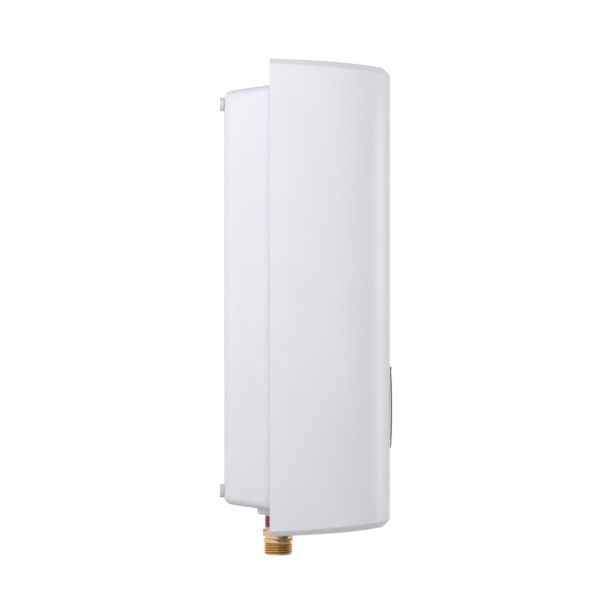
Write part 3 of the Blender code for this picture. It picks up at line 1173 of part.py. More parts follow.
def make_main_board():
    board = make("main_board", box((-BOARD_LEFT, BOARD_RIGHT), (BOARD_DEPTH, BOARD_FRONT_DEPTH),
                                   (-BOARD_LOW_Z, BOARD_HIGH_Z)), BOARD_GREEN)
    holes = [rod(at(x, 0, z), TO_FRONT, SMALL_SCREW_RADIUS + REST_GAP, BOARD_DEPTH - OVERRUN,
                 BOARD_FRONT_DEPTH + OVERRUN, SCREW_SIDES) for x, z in board_screw_places()]
    cut(board, *holes)
    seat = BOARD_FRONT_DEPTH + REST_GAP
    for number, (x, z) in enumerate(board_screw_places(), 1):
        screw(f"board_screw_{number}", at(x, seat, z), TO_WALL,
              (SMALL_SCREW_RADIUS, seat - BLOCK_FRONT_DEPTH - BOARD_POST_HEIGHT + SMALL_SCREW_GRIP),
              (SMALL_SCREW_HEAD_RADIUS, SMALL_SCREW_HEAD_HEIGHT))
    for number in (1, 2):
        x = -RELAY_FIRST_X + RELAY_SPACING * (number - 1)
        relay = make(f"relay_{number}", box((x - RELAY_HALF_WIDTH, x + RELAY_HALF_WIDTH),
                                            (seat, seat + RELAY_HEIGHT),
                                            (RELAY_Z - RELAY_HALF_LENGTH, RELAY_Z + RELAY_HALF_LENGTH)),
                     BLACK_PLASTIC)
        bevel(relay, RELAY_EDGE)
    place = at(CAPACITOR_X, seat, CAPACITOR_Z)
    edge = RELAY_EDGE
    profile = [(CAPACITOR_RADIUS, 0), (CAPACITOR_RADIUS, CAPACITOR_HEIGHT - edge),
               (CAPACITOR_RADIUS - edge, CAPACITOR_HEIGHT)]
    make("filter_capacitor", turned(place, TO_FRONT, profile, CHANNEL_SIDES), GREY_PLASTIC, place)

    x, z = -SOCKET_BOX_X, -SOCKET_BOX_Z
    socket = make("board_socket", box((x - SOCKET_BOX_HALF_WIDTH, x + SOCKET_BOX_HALF_WIDTH),
                                      (seat, seat + SOCKET_BOX_DEPTH),
                                      (z - SOCKET_BOX_HALF_HEIGHT, z + SOCKET_BOX_HALF_HEIGHT)), PALE_PLASTIC)
    inner_width, inner_height = socket_inside()
    cut(socket, box((x - inner_width, x + inner_width), (seat + SOCKET_BOX_WALL, seat + SOCKET_BOX_DEPTH + OVERRUN),
                    (z - inner_height, z + inner_height)))


def socket_inside():
    return SOCKET_BOX_HALF_WIDTH - SOCKET_BOX_WALL, SOCKET_BOX_HALF_HEIGHT - SOCKET_BOX_WALL


def make_heat_sink():
    seat = BLOCK_FRONT_DEPTH + REST_GAP
    front = seat + SINK_THICKNESS
    sink = make("heat_sink", box((SINK_LEFT, SINK_RIGHT), (seat, front), (-SINK_LOW_Z, SINK_HIGH_Z)), ALUMINIUM)
    fin_z = SINK_HIGH_Z - SINK_FIN_HEIGHT
    fins = []
    for k in range(SINK_FIN_COUNT):
        x = SINK_LEFT + (SINK_RIGHT - SINK_LEFT) * (k + 1) / (SINK_FIN_COUNT + 1)
        fins.append(box((x - SINK_FIN_THICKNESS / 2, x + SINK_FIN_THICKNESS / 2),
                        (front - SINK_THICKNESS / 2, front + SINK_FIN_HEIGHT), (fin_z - SINK_FIN_HEIGHT, fin_z)))
    add(sink, *fins)
    x = (SINK_LEFT + SINK_RIGHT) / 2
    near = front + REST_GAP
    for number in (1, 2):
        low = -TRIAC_LOW_Z - TRIAC_SPACING / 2 + TRIAC_SPACING * (number - 1)
        tab = box((x - TRIAC_HALF_WIDTH, x + TRIAC_HALF_WIDTH), (near, near + TRIAC_TAB_THICKNESS),
                  (low, low + TRIAC_TAB_HEIGHT))
        inner = TRIAC_HALF_WIDTH - RELAY_EDGE
        triac = make(f"triac_{number}", tab, BLACK_PLASTIC)
        add(triac, box((x - inner, x + inner), (near + TRIAC_TAB_THICKNESS / 2, near + TRIAC_THICKNESS),
                       (low + RELAY_EDGE, low + TRIAC_HEIGHT)))


def make_terminal_block():
    block = make("terminal_block", box((-TERMINAL_HALF_WIDTH, TERMINAL_HALF_WIDTH),
                                       (TERMINAL_BACK_DEPTH, TERMINAL_FRONT_DEPTH),
                                       (-TERMINAL_LOW, -TERMINAL_HIGH)), NYLON)
    bevel(block, TERMINAL_EDGE)
    middle = -(TERMINAL_LOW + TERMINAL_HIGH) / 2
    entry_depth = TERMINAL_FRONT_DEPTH - TERMINAL_WIRE_INSET
    wells, entries, exits = [], [], []
    for x in terminal_places():
        wells.append(rod(at(x, 0, middle), TO_FRONT, TERMINAL_WELL_RADIUS,
                         TERMINAL_FRONT_DEPTH - TERMINAL_WELL_DEPTH, TERMINAL_FRONT_DEPTH + OVERRUN, SCREW_SIDES))
        entries.append(rod(at(x, entry_depth, -TERMINAL_LOW), UP, TERMINAL_WIRE_RADIUS, -OVERRUN,
                           TERMINAL_WIRE_DEPTH, SCREW_SIDES))
        exits.append(rod(at(x, LEAD_START_DEPTH, -TERMINAL_HIGH), DOWN, LEAD_RADIUS + REST_GAP, -OVERRUN,
                         TERMINAL_WIRE_DEPTH / 2, SCREW_SIDES))
    cut(block, *wells)
    cut(block, *entries, *exits)


def terminal_places():
    return [TERMINAL_PITCH * (k - (TERMINAL_POLES - 1) / 2) for k in range(TERMINAL_POLES)]


def make_cable_entry():
    place = at(0, 0, -GROMMET_Z)
    rear = TUB_BACK_DEPTH - REST_GAP
    front = TUB_FLOOR_DEPTH + REST_GAP
    neck = GROMMET_HOLE_RADIUS - REST_GAP
    profile = [(GROMMET_BORE_RADIUS, rear - GROMMET_FLANGE_THICKNESS),
               (GROMMET_FLANGE_RADIUS, rear - GROMMET_FLANGE_THICKNESS), (GROMMET_FLANGE_RADIUS, rear),
               (neck, rear), (neck, front), (GROMMET_FLANGE_RADIUS, front),
               (GROMMET_FLANGE_RADIUS, front + GROMMET_FLANGE_THICKNESS),
               (GROMMET_BORE_RADIUS, front + GROMMET_FLANGE_THICKNESS)]
    make("cable_grommet", turned(place, TO_FRONT, profile, CHANNEL_SIDES, bored=True), RUBBER, place)

    seat = TUB_FLOOR_DEPTH + CLAMP_POST_HEIGHT + REST_GAP
    bar = make("cord_clamp", box((-CLAMP_HALF_WIDTH, CLAMP_HALF_WIDTH), (seat, seat + CLAMP_THICKNESS),
                                 (-CLAMP_Z - CLAMP_HALF_HEIGHT, -CLAMP_Z + CLAMP_HALF_HEIGHT)), GREY_PLASTIC)
    bevel(bar, TERMINAL_EDGE)
    cut(bar, *[rod(at(x, 0, -CLAMP_Z), TO_FRONT, SMALL_SCREW_RADIUS + REST_GAP, seat - OVERRUN,
                   seat + CLAMP_THICKNESS + OVERRUN, SCREW_SIDES)
               for x in (-CLAMP_POST_OFFSET, CLAMP_POST_OFFSET)])
    under_head = seat + CLAMP_THICKNESS + REST_GAP
    for number, x in enumerate((-CLAMP_POST_OFFSET, CLAMP_POST_OFFSET), 1):
        screw(f"clamp_screw_{number}", at(x, under_head, -CLAMP_Z), TO_WALL,
              (SMALL_SCREW_RADIUS, CLAMP_THICKNESS + 2 * REST_GAP + SMALL_SCREW_GRIP),
              (SMALL_SCREW_HEAD_RADIUS, SMALL_SCREW_HEAD_HEIGHT))


def smooth_route(corners, steps):
    """A quadratic B-spline through the middles of a route's legs, with steps points per bend."""
    corners = [np.array(corner) for corner in corners]
    legs = [corners[0]] + [(a + b) / 2 for a, b in zip(corners[1:-2], corners[2:-1])] + [corners[-1]]
    points = []
    for k in range(len(legs) - 1):
        a, b, c = legs[k], corners[k + 1], legs[k + 1]
        for i in range(steps + (k == len(legs) - 2)):
            t = i / steps
            points.append((1 - t) ** 2 * a + 2 * t * (1 - t) * b + t ** 2 * c)
    return points


def make_leads():
    """Each lead leaves the terminal block upwards, runs forward under the header and rises to its terminal."""
    start_z = -TERMINAL_HIGH - TERMINAL_WIRE_DEPTH / 2 + REST_GAP
    board_end = at(0, BOARD_FRONT_DEPTH + LEAD_RADIUS + REST_GAP, -BOARD_LOW_Z + BOARD_POST_INSET)
    live, neutral, earth = terminal_places()
    for name, x, end_x, finish in (("lead_live", live, -LEAD_LIVE_X, BROWN_WIRE),
                                   ("lead_neutral", neutral, -LEAD_NEUTRAL_X, BLUE_WIRE),
                                   ("lead_earth", earth, LEAD_EARTH_X, EARTH_WIRE)):
        end_z = board_end.z if name != "lead_earth" else -SINK_LOW_Z - REST_GAP
        end_depth = -board_end.y if name != "lead_earth" else BLOCK_FRONT_DEPTH + REST_GAP + SINK_THICKNESS / 2
        corners = [at(x, LEAD_START_DEPTH, start_z), at(x, LEAD_START_DEPTH, -TERMINAL_HIGH),
                   at(x, LEAD_START_DEPTH, -LEAD_UNDER_Z),
                   at((x + end_x) / 2, LEAD_UNDER_DEPTH, -LEAD_UNDER_Z), at(end_x, end_depth, -LEAD_UNDER_Z),
                   at(end_x, end_depth, -LEAD_UNDER_Z + LEAD_RISE), at(end_x, end_depth, end_z)]
        points = smooth_route(corners, LEAD_STEPS_PER_BEND)
        tube(name, points, LEAD_RADIUS, LEAD_SIDES_RESOLUTION, finish)


# Cover and control unit


def make_cover():
    cover = make("front_cover", cover_shell(), WHITE_PLASTIC)
    half = COVER_HEIGHT / 2
    middle = COVER_WALL / 2
    side = cover_half_width_at(LEDGE_DEPTH + LEDGE_THICKNESS / 2) - middle
    depths = (LEDGE_DEPTH, LEDGE_DEPTH + LEDGE_THICKNESS)
    outer = rounded_rectangle(side, half - middle, LEDGE_CORNER_RADIUS, TUB_CORNER_STEPS)
    inner = rounded_rectangle(tub_half_width(TUB_RIM_DEPTH) - TUB_WALL - LEDGE_OVERLAP,
                              tub_half_height(TUB_RIM_DEPTH) - TUB_WALL - LEDGE_OVERLAP,
                              LEDGE_CORNER_RADIUS, TUB_CORNER_STEPS)
    ledge = loft([[at(x, depths[0], z) for x, z in outer], [at(x, depths[1], z) for x, z in outer],
                  [at(x, depths[1], z) for x, z in inner], [at(x, depths[0], z) for x, z in inner]], wrapped=True)
    add(cover, ledge)
    tower_top = -BOSS_BOTTOM - REST_GAP
    tower = rod(at(0, COVER_SCREW_DEPTH, 0), UP, TOWER_RADIUS, -half + middle, tower_top, CHANNEL_SIDES)
    add(cover, tower)

    control_hole = rod(at(0, 0, -CONTROL_Z), TO_FRONT, BEZEL_CUP_RADIUS + REST_GAP,
                       COVER_FRONT_DEPTH - COVER_WALL - OVERRUN, COVER_FRONT_DEPTH + OVERRUN, CONTROL_SIDES)
    flange_back = BEZEL_FRONT_DEPTH - BEZEL_FLANGE_THICKNESS
    rebate = rod(at(0, 0, -CONTROL_Z), TO_FRONT, BEZEL_RADIUS + REST_GAP, flange_back - REST_GAP,
                 COVER_FRONT_DEPTH + OVERRUN, CONTROL_SIDES)
    recess = rod(at(0, COVER_SCREW_DEPTH, 0), UP, SCREW_HEAD_RADIUS + REST_GAP, -half - OVERRUN,
                 -half + COVER_SCREW_RECESS, SCREW_SIDES)
    shank = rod(at(0, COVER_SCREW_DEPTH, 0), UP, SCREW_RADIUS + REST_GAP, -half + OVERRUN, tower_top + OVERRUN,
                SCREW_SIDES)
    cut(cover, control_hole, recess, *lug_shapes(REST_GAP), *notch_shapes())
    cut(cover, rebate, shank)
    return cover


def notch_shapes():
    """Notches from the rear that let the cover pass the water fittings."""
    notches = []
    reach = NIPPLE_HEX_ACROSS / math.sqrt(3) + RUNNING_GAP
    low, high = -COVER_HEIGHT / 2 - OVERRUN, -COVER_HEIGHT / 2 + COVER_WALL + OVERRUN
    for x in (-FITTING_X, FITTING_X):
        outline = [(x - reach, COVER_REAR_DEPTH - OVERRUN), (x + reach, COVER_REAR_DEPTH - OVERRUN)]
        for k in range(CHANNEL_SIDES // 2 + 1):
            angle = math.pi * k / (CHANNEL_SIDES // 2)
            outline.append((x + reach * math.cos(angle), FITTING_DEPTH + reach * math.sin(angle)))
        notches.append(loft([[at(px, d, z) for px, d in outline] for z in (low, high)]))
    return notches


def make_cover_screw():
    half = COVER_HEIGHT / 2
    seat = at(0, COVER_SCREW_DEPTH, -half + COVER_SCREW_RECESS - REST_GAP)
    length = half - COVER_SCREW_RECESS + REST_GAP - BOSS_BOTTOM + COVER_SCREW_REACH
    screw("cover_screw", seat, UP, (SCREW_RADIUS, length), (SCREW_HEAD_RADIUS, SCREW_HEAD_HEIGHT))


def turned_from_top(radius, degrees):
    """A place on the control's face, by radius and clockwise turn from its top, as (x, z)."""
    angle = math.radians(degrees)
    return radius * math.sin(angle), -CONTROL_Z + radius * math.cos(angle)


def make_bezel():
    """A flanged cup: its floor carries the encoder, its hub the window, and two marks show the dial's ends."""
    place = at(0, 0, -CONTROL_Z)
    flange_back = BEZEL_FRONT_DEPTH - BEZEL_FLANGE_THICKNESS
    floor_front = BEZEL_FLOOR_DEPTH + BEZEL_FLOOR
    hub_front = SELECTOR_LIP_DEPTH
    hub_inner = BEZEL_HUB_RADIUS - BEZEL_HUB_WALL
    profile = [(hub_inner, BEZEL_FLOOR_DEPTH), (BEZEL_CUP_RADIUS, BEZEL_FLOOR_DEPTH),
               (BEZEL_CUP_RADIUS, flange_back), (BEZEL_RADIUS, flange_back),
               (BEZEL_RADIUS, BEZEL_FRONT_DEPTH - BEZEL_EDGE), (BEZEL_RADIUS - BEZEL_EDGE, BEZEL_FRONT_DEPTH),
               (BEZEL_INNER_RADIUS, BEZEL_FRONT_DEPTH), (BEZEL_INNER_RADIUS, floor_front),
               (BEZEL_HUB_RADIUS, floor_front), (BEZEL_HUB_RADIUS, hub_front), (hub_inner, hub_front)]
    bezel = make("control_bezel", turned(place, TO_FRONT, profile, CONTROL_SIDES, bored=True), PALE_PLASTIC,
                 place)
    marks = []
    for degrees in (-DIAL_TURN_DEG, DIAL_TURN_DEG):
        x, z = turned_from_top(MARK_PLACE_RADIUS, degrees)
        marks.append(rod(at(x, 0, z), TO_FRONT, MARK_RADIUS, BEZEL_FRONT_DEPTH - BEZEL_FLANGE_THICKNESS / 2,
                         MARK_FRONT_DEPTH, MARK_SIDES))
    add(bezel, *marks)

    seat = SELECTOR_LIP_DEPTH + REST_GAP
    window = [(WINDOW_RADIUS, seat), (WINDOW_RADIUS, WINDOW_FRONT_DEPTH - WINDOW_EDGE),
              (WINDOW_RADIUS - WINDOW_EDGE, WINDOW_FRONT_DEPTH)]
    make("display_window", turned(place, TO_FRONT, window, CONTROL_SIDES), DARK_GLOSS, place)

    radius = BEZEL_HUB_RADIUS - BEZEL_HUB_WALL - REST_GAP
    board = make("display_board", rod(place, TO_FRONT, radius, DISPLAY_BOARD_DEPTH,
                                      DISPLAY_BOARD_DEPTH + BOARD_THICKNESS, CHANNEL_SIDES), BOARD_GREEN, place)
    start = DISPLAY_BOARD_DEPTH + BOARD_THICKNESS / 2
    add(board, box((-DISPLAY_HALF_WIDTH, DISPLAY_HALF_WIDTH),
                   (start, start + BOARD_THICKNESS / 2 + DISPLAY_THICKNESS),
                   (-CONTROL_Z - DISPLAY_HALF_HEIGHT, -CONTROL_Z + DISPLAY_HALF_HEIGHT)))


def gear_outline(teeth, pitch_radius, low, high, low_share, high_share):
    """Straight-sided teeth, as (angle, radius): low and high radii, and half widths as shares of the pitch."""
    step = 2 * math.pi / teeth
    outline = []
    for tooth in range(teeth):
        middle = step * tooth
        for radius, share in ((low, -low_share), (high, -high_share), (high, high_share), (low, low_share)):
            outline.append((middle + step * share * pitch_radius / radius, radius))
    return outline


def gear_prism(place, outline, depths):
    rings = []
    for depth in depths:
        rings.append([place + Vector((r * math.cos(a), 0, r * math.sin(a))) + TO_FRONT * depth
                      for a, r in outline])
    return loft(rings)


def make_selector():
    """The ring turns on the bezel's hub, held by the window's edge, with gear teeth inside its skirt."""
    place = at(0, 0, -CONTROL_Z)
    ring_pitch = GEAR_MODULE * RING_TEETH / 2
    tip = ring_pitch - GEAR_ADDENDUM
    edge = SELECTOR_EDGE
    rim_back = BEZEL_FRONT_DEPTH + REST_GAP
    profile = [(tip, SELECTOR_REAR_DEPTH), (SELECTOR_SKIRT_RADIUS, SELECTOR_REAR_DEPTH),
               (SELECTOR_SKIRT_RADIUS, rim_back), (SELECTOR_RADIUS, rim_back),
               (SELECTOR_RADIUS, SELECTOR_FRONT_DEPTH - edge), (SELECTOR_RADIUS - edge, SELECTOR_FRONT_DEPTH),
               (SELECTOR_INNER_RADIUS, SELECTOR_FRONT_DEPTH), (SELECTOR_INNER_RADIUS, SELECTOR_LIP_DEPTH),
               (SELECTOR_LIP_RADIUS, SELECTOR_LIP_DEPTH), (SELECTOR_LIP_RADIUS, SELECTOR_PLATE_DEPTH),
               (tip, SELECTOR_PLATE_DEPTH)]
    ring = make("selector_ring", turned(place, TO_FRONT, profile, CONTROL_SIDES, bored=True), DARK_GLOSS, place)
    outline = gear_outline(RING_TEETH, ring_pitch, tip - OVERRUN / 2, ring_pitch + GEAR_DEDENDUM,
                           RING_MOUTH_SHARE, RING_FLOOR_SHARE)
    gear_end = SELECTOR_REAR_DEPTH + PINION_HEIGHT + 2 * RUNNING_GAP
    cut(ring, gear_prism(place, outline, (SELECTOR_REAR_DEPTH - OVERRUN, gear_end)))
    outer = SELECTOR_RADIUS - 2 * edge
    pointer = box((-POINTER_HALF_WIDTH, POINTER_HALF_WIDTH), (SELECTOR_LIP_DEPTH, POINTER_FRONT_DEPTH),
                  (-CONTROL_Z + POINTER_INNER_RADIUS, -CONTROL_Z + SELECTOR_SKIRT_RADIUS - edge))
    tip_cap = box((-POINTER_HALF_WIDTH, POINTER_HALF_WIDTH), (SELECTOR_FRONT_DEPTH - edge, POINTER_FRONT_DEPTH),
                  (-CONTROL_Z + POINTER_INNER_RADIUS, -CONTROL_Z + outer))
    add(ring, pointer)
    add(ring, tip_cap)


def pinion_place():
    return at(0, 0, -CONTROL_Z + GEAR_MODULE * (RING_TEETH - PINION_TEETH) / 2)


def make_encoder():
    place = pinion_place()
    pitch = GEAR_MODULE * PINION_TEETH / 2
    outline = gear_outline(PINION_TEETH, pitch, pitch - GEAR_DEDENDUM, pitch + GEAR_ADDENDUM,
                           PINION_ROOT_SHARE, PINION_TIP_SHARE)
    start = SELECTOR_REAR_DEPTH + RUNNING_GAP
    pinion = make("encoder_pinion", gear_prism(place, outline, (start, start + PINION_HEIGHT)), NYLON, place)
    add(pinion, rod(place, TO_FRONT, PINION_SHAFT_RADIUS, start - PINION_SHAFT_LENGTH - RUNNING_GAP,
                    start + RUNNING_GAP, SCREW_SIDES))

    floor = BEZEL_FLOOR_DEPTH + BEZEL_FLOOR + REST_GAP
    encoder = make("encoder", box((-ENCODER_HALF_WIDTH, ENCODER_HALF_WIDTH), (floor, floor + ENCODER_HEIGHT),
                                  (place.z - ENCODER_HALF_HEIGHT, place.z + ENCODER_HALF_HEIGHT)),
                   BLACK_PLASTIC, place)
    bevel(encoder, RELAY_EDGE)
    cut(encoder, rod(place, TO_FRONT, PINION_SHAFT_RADIUS + REST_GAP, floor + BEZEL_FLOOR / 4,
                     floor + ENCODER_HEIGHT + OVERRUN, SCREW_SIDES))


def make_ribbon():
    """A flat cable from behind the control unit to a plug in the main board's socket."""
    seat = BOARD_FRONT_DEPTH + REST_GAP + SOCKET_BOX_WALL + REST_GAP
    x, plug_z = -SOCKET_BOX_X, -SOCKET_BOX_Z
    end_z = -CONTROL_Z + RIBBON_END_ABOVE
    end_depth = BEZEL_FLOOR_DEPTH - REST_GAP
    plug_front = seat + RIBBON_PLUG_LENGTH
    block_back = end_depth - RIBBON_END_BLOCK
    corners = [at(x, plug_front - RIBBON_THICKNESS, plug_z), at(x, RIBBON_TOP_DEPTH, plug_z),
               at(x, RIBBON_TOP_DEPTH, (plug_z + end_z) / 2), at(x, RIBBON_TOP_DEPTH, end_z),
               at(x, block_back + RIBBON_THICKNESS, end_z)]
    middle = [Vector(point) for point in smooth_route(corners, RIBBON_STEPS_PER_BEND)]
    rings = []
    for i, point in enumerate(middle):
        along = (middle[min(i + 1, len(middle) - 1)] - middle[max(i - 1, 0)]).normalized()
        thick = along.cross(Vector((1, 0, 0))) * RIBBON_THICKNESS / 2
        wide = Vector((RIBBON_HALF_WIDTH, 0, 0))
        rings.append([point - wide - thick, point + wide - thick, point + wide + thick, point - wide + thick])
    ribbon = make("ribbon_cable", loft(rings), RIBBON_GREY)
    inner_width, inner_height = socket_inside()
    half_width, half_height = inner_width - REST_GAP, inner_height - REST_GAP
    plug = box((x - half_width, x + half_width), (seat, plug_front), (plug_z - half_height, plug_z + half_height))
    block = box((x - half_width, x + half_width), (block_back, end_depth),
                (end_z - RIBBON_END_HALF_HEIGHT, end_z + RIBBON_END_HALF_HEIGHT))
    add(ribbon, plug, block)


def main():
    for thing in list(bpy.data.objects):
        bpy.data.objects.remove(thing, do_unlink=True)
    make_housing()
    make_spacers()
    make_fitting("outlet_nipple", -FITTING_X)
    make_fitting("inlet_nipple", FITTING_X)
    make_fitting_rings()
    make_outlet_pipe()
    make_stop_valve()
    make_strainer()
    make_flow_sensor()
    make_turbine()
    make_heater_block()
    make_headers()
    make_coils()
    make_thermal_cutout()
    make_probes()
    make_block_screws()
    make_main_board()
    make_heat_sink()
    make_terminal_block()
    make_cable_entry()
    make_leads()
    make_cover()
    make_cover_screw()
    make_bezel()
    make_selector()
    make_encoder()
    make_ribbon()


main()
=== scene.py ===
# %% [markdown]
# # A wall-hung instant water heater, dressed for its portrait
#
# The heater is a shallow white tub on a wall, a curved cover in front of it, a round control on the
# cover and two brass fittings underneath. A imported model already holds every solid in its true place.
# This script loads that model, lays finer surfaces over the pieces that the eye follows, and gives
# every piece a finish. All lengths are in metres, Z is up, and -Y points out of the wall. Depth is
# used below for the distance out of the wall, so depth is minus Y.

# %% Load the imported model
import json
import math

import bmesh
import bpy
import numpy as np
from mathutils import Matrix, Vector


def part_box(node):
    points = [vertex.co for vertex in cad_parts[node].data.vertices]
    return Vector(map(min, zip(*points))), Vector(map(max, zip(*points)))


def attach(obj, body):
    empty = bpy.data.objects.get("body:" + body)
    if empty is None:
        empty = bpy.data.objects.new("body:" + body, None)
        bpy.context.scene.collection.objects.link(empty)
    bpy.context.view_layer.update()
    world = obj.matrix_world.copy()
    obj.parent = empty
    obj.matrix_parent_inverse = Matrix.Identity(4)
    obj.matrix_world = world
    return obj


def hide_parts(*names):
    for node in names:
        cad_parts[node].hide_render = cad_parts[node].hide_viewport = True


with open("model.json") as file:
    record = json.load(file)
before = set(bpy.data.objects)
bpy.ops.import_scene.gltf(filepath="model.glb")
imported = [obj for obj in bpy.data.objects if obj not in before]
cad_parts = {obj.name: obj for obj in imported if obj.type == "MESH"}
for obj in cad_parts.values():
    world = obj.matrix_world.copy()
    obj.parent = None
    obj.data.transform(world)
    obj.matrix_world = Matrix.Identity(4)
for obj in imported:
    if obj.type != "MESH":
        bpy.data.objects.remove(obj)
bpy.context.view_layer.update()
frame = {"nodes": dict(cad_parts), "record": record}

NODES = frame["nodes"]
SLOT_OF = {part["node"]: part["material_slot"] for part in frame["record"]["subparts"]}

# %% [markdown]
# ## Camera
#
# The photograph looks at the heater's left side, square on, from the wall's own height. Edges that
# are near the camera look longer than edges that are far from it, and the ratio gives the distance.
# Its lens is long, so the camera stands well back.

# %% Camera
CAMERA_DISTANCE = 1.706
CAMERA_DEPTH = 0.0577
PICTURE_WIDTH_PX = 600
FOCAL_LENGTH_PX = 2260
HORIZON_ABOVE_CENTRE_PX = 2.46
SENSOR_WIDTH_MM = 36

camera = bpy.data.objects.new("camera", bpy.data.cameras.new("camera"))
camera.location = (-CAMERA_DISTANCE, -CAMERA_DEPTH, 0)
camera.rotation_euler = (math.radians(90), 0, math.radians(-90))
camera.data.sensor_width = SENSOR_WIDTH_MM
camera.data.lens = FOCAL_LENGTH_PX * SENSOR_WIDTH_MM / PICTURE_WIDTH_PX
camera.data.shift_y = -HORIZON_ABOVE_CENTRE_PX / PICTURE_WIDTH_PX
bpy.context.scene.collection.objects.link(camera)
bpy.context.scene.camera = camera
print(f"lens {camera.data.lens:.1f} mm")

# %% [markdown]
# ## Shader nodes in few words
#
# A finish is a small graph of nodes. One helper puts a node in with its settings, and a few short
# ones give names to the nodes that come up most. Another makes a node group with named sockets, so
# that an effect is built once and used by many finishes.

# %% Helpers for shader graphs
def linear(red, green, blue):
    """A colour as a picture shows it, 0 to 255, turned into the light it stands for."""
    share = np.array([red, green, blue]) / 255
    light = np.where(share <= 0.04045, share / 12.92, ((share + 0.055) / 1.055) ** 2.4)
    return (*light.tolist(), 1.0)


def put(tree, kind, sockets=None, **settings):
    """Put a node into a graph. Sockets go by name or number, each with a value or the output of another
    node."""
    node = tree.nodes.new(kind)
    for name, value in settings.items():
        setattr(node, name, value)
    for name, value in (sockets or {}).items():
        if isinstance(value, bpy.types.NodeSocket):
            tree.links.new(value, node.inputs[name])
        else:
            node.inputs[name].default_value = value
    return node


def maths(tree, operation, *values):
    """The result of one maths node, whose sockets take the values in order."""
    return put(tree, "ShaderNodeMath", dict(enumerate(values)), operation=operation).outputs[0]


def product(tree, first, second):
    """The first times the second."""
    return maths(tree, "MULTIPLY", first, second)


def vector_maths(tree, operation, first, second):
    """The node's two outputs: the first is a vector, the second a number."""
    return put(tree, "ShaderNodeVectorMath", {0: first, 1: second}, operation=operation).outputs


def blend_values(tree, share, first, second):
    """The first number where share is 0 and the second where it is 1."""
    return put(tree, "ShaderNodeMix", {0: share, 2: first, 3: second}, data_type="FLOAT").outputs[0]


def blend_colours(tree, share, first, second):
    """The same for two colours, which this node takes at its sockets 6 and 7 and gives at output 2."""
    return put(tree, "ShaderNodeMix", {0: share, 6: first, 7: second}, data_type="RGBA").outputs[2]


def ramp(tree, value, low, high, to_low=0.0, to_high=1.0):
    """Carry a value from one range to another with soft ends, and stop it there."""
    sockets = {"Value": value, "From Min": low, "From Max": high, "To Min": to_low, "To Max": to_high}
    return put(tree, "ShaderNodeMapRange", sockets, interpolation_type="SMOOTHSTEP").outputs["Result"]


def noise(tree, place, scale, detail=2.0, roughness=0.5):
    """Random clouds from 0 to 1, about scale of them in a metre."""
    sockets = {"Vector": place, "Scale": scale, "Detail": detail, "Roughness": roughness}
    return put(tree, "ShaderNodeTexNoise", sockets).outputs["Fac"]


def parts_of(tree, vector):
    """The outputs X, Y and Z of a vector."""
    return put(tree, "ShaderNodeSeparateXYZ", {0: vector}).outputs


# %% Helper for effects, which are node groups
WHITE = (1, 1, 1, 1)


def effect(name, inputs, outputs):
    """A new node group. Inputs are (name, kind, first value) and outputs are (name, kind)."""
    tree = bpy.data.node_groups.new(name, "ShaderNodeTree")
    for label, kind, value in inputs:
        socket = tree.interface.new_socket(label, in_out="INPUT", socket_type="NodeSocket" + kind)
        if value is not None:
            socket.default_value = value
    for label, kind in outputs:
        tree.interface.new_socket(label, in_out="OUTPUT", socket_type="NodeSocket" + kind)
    print(f"effect: {name}")
    return tree, tree.nodes.new("NodeGroupInput").outputs, tree.nodes.new("NodeGroupOutput").inputs


# %% [markdown]
# ## The effects
#
# Moulded plastic is never quite even: its colour drifts a little, its gloss varies where it was
# touched or cooled slower, and a fine grain from the mould breaks up its highlights. Dust settles on
# what faces up. Turned brass carries fine rings round its axis. Its thread is painted darker towards
# the roots, which is painted shade, and paler on the crests, which is a painted highlight, and random
# stains take the same darker colour. Every pattern is laid out in the object's own
# coordinates, so it stays on the piece from every side. A scale says how fine a pattern is: it is
# about the number of its clouds in a metre.

# %% Moulded skin: colour drift, uneven gloss and grain
SMEARS_PER_DRIFT = 3.7

tree, given, out = effect(
    "moulded skin",
    [("Place", "Vector", None), ("Colour", "Color", WHITE), ("Drift colour", "Color", WHITE),
     ("Drift amount", "Float", 0.5), ("Drift scale", "Float", 20.0), ("Gloss", "Float", 0.4),
     ("Gloss spread", "Float", 0.08), ("Grain scale", "Float", 1500.0)],
    [("Colour", "Color"), ("Roughness", "Float"), ("Height", "Float")])
clouds = ramp(tree, noise(tree, given["Place"], given["Drift scale"], detail=3.0), low=0.35, high=0.65)
drift = product(tree, clouds, given["Drift amount"])
tree.links.new(blend_colours(tree, drift, given["Colour"], given["Drift colour"]), out["Colour"])
smear_scale = product(tree, given["Drift scale"], SMEARS_PER_DRIFT)
smears = noise(tree, given["Place"], smear_scale, detail=4.0, roughness=0.6)
swing = product(tree, maths(tree, "SUBTRACT", smears, 0.5), given["Gloss spread"])
tree.links.new(maths(tree, "ADD", given["Gloss"], swing), out["Roughness"])
tree.links.new(noise(tree, given["Place"], given["Grain scale"], roughness=0.6), out["Height"])
MOULDED_SKIN = tree

# %% Settled dust: a tint that grows on what faces up
DUST_PATCH_SCALE = 70.0

tree, given, out = effect(
    "settled dust",
    [("Place", "Vector", None), ("Colour", "Color", WHITE),
     ("Dust colour", "Color", (0.5, 0.48, 0.45, 1)), ("Amount", "Float", 0.1)],
    [("Colour", "Color")])
normal = put(tree, "ShaderNodeNewGeometry").outputs["Normal"]
facing_up = ramp(tree, parts_of(tree, normal)["Z"], low=0.35, high=1.0)
clouds = noise(tree, given["Place"], DUST_PATCH_SCALE, detail=5.0, roughness=0.65)
dust = product(tree, product(tree, facing_up, ramp(tree, clouds, low=0.3, high=0.7)), given["Amount"])
tree.links.new(blend_colours(tree, dust, given["Colour"], given["Dust colour"]), out["Colour"])
SETTLED_DUST = tree

# %% Turned metal: rings round an upright axis, a painted highlight on the thread's crests, painted shade in its roots, and stains
STAIN_SCALE = 160.0
GLOSS_SWING, GLOSS_LOST_IN_ROOTS = 0.22, 0.15

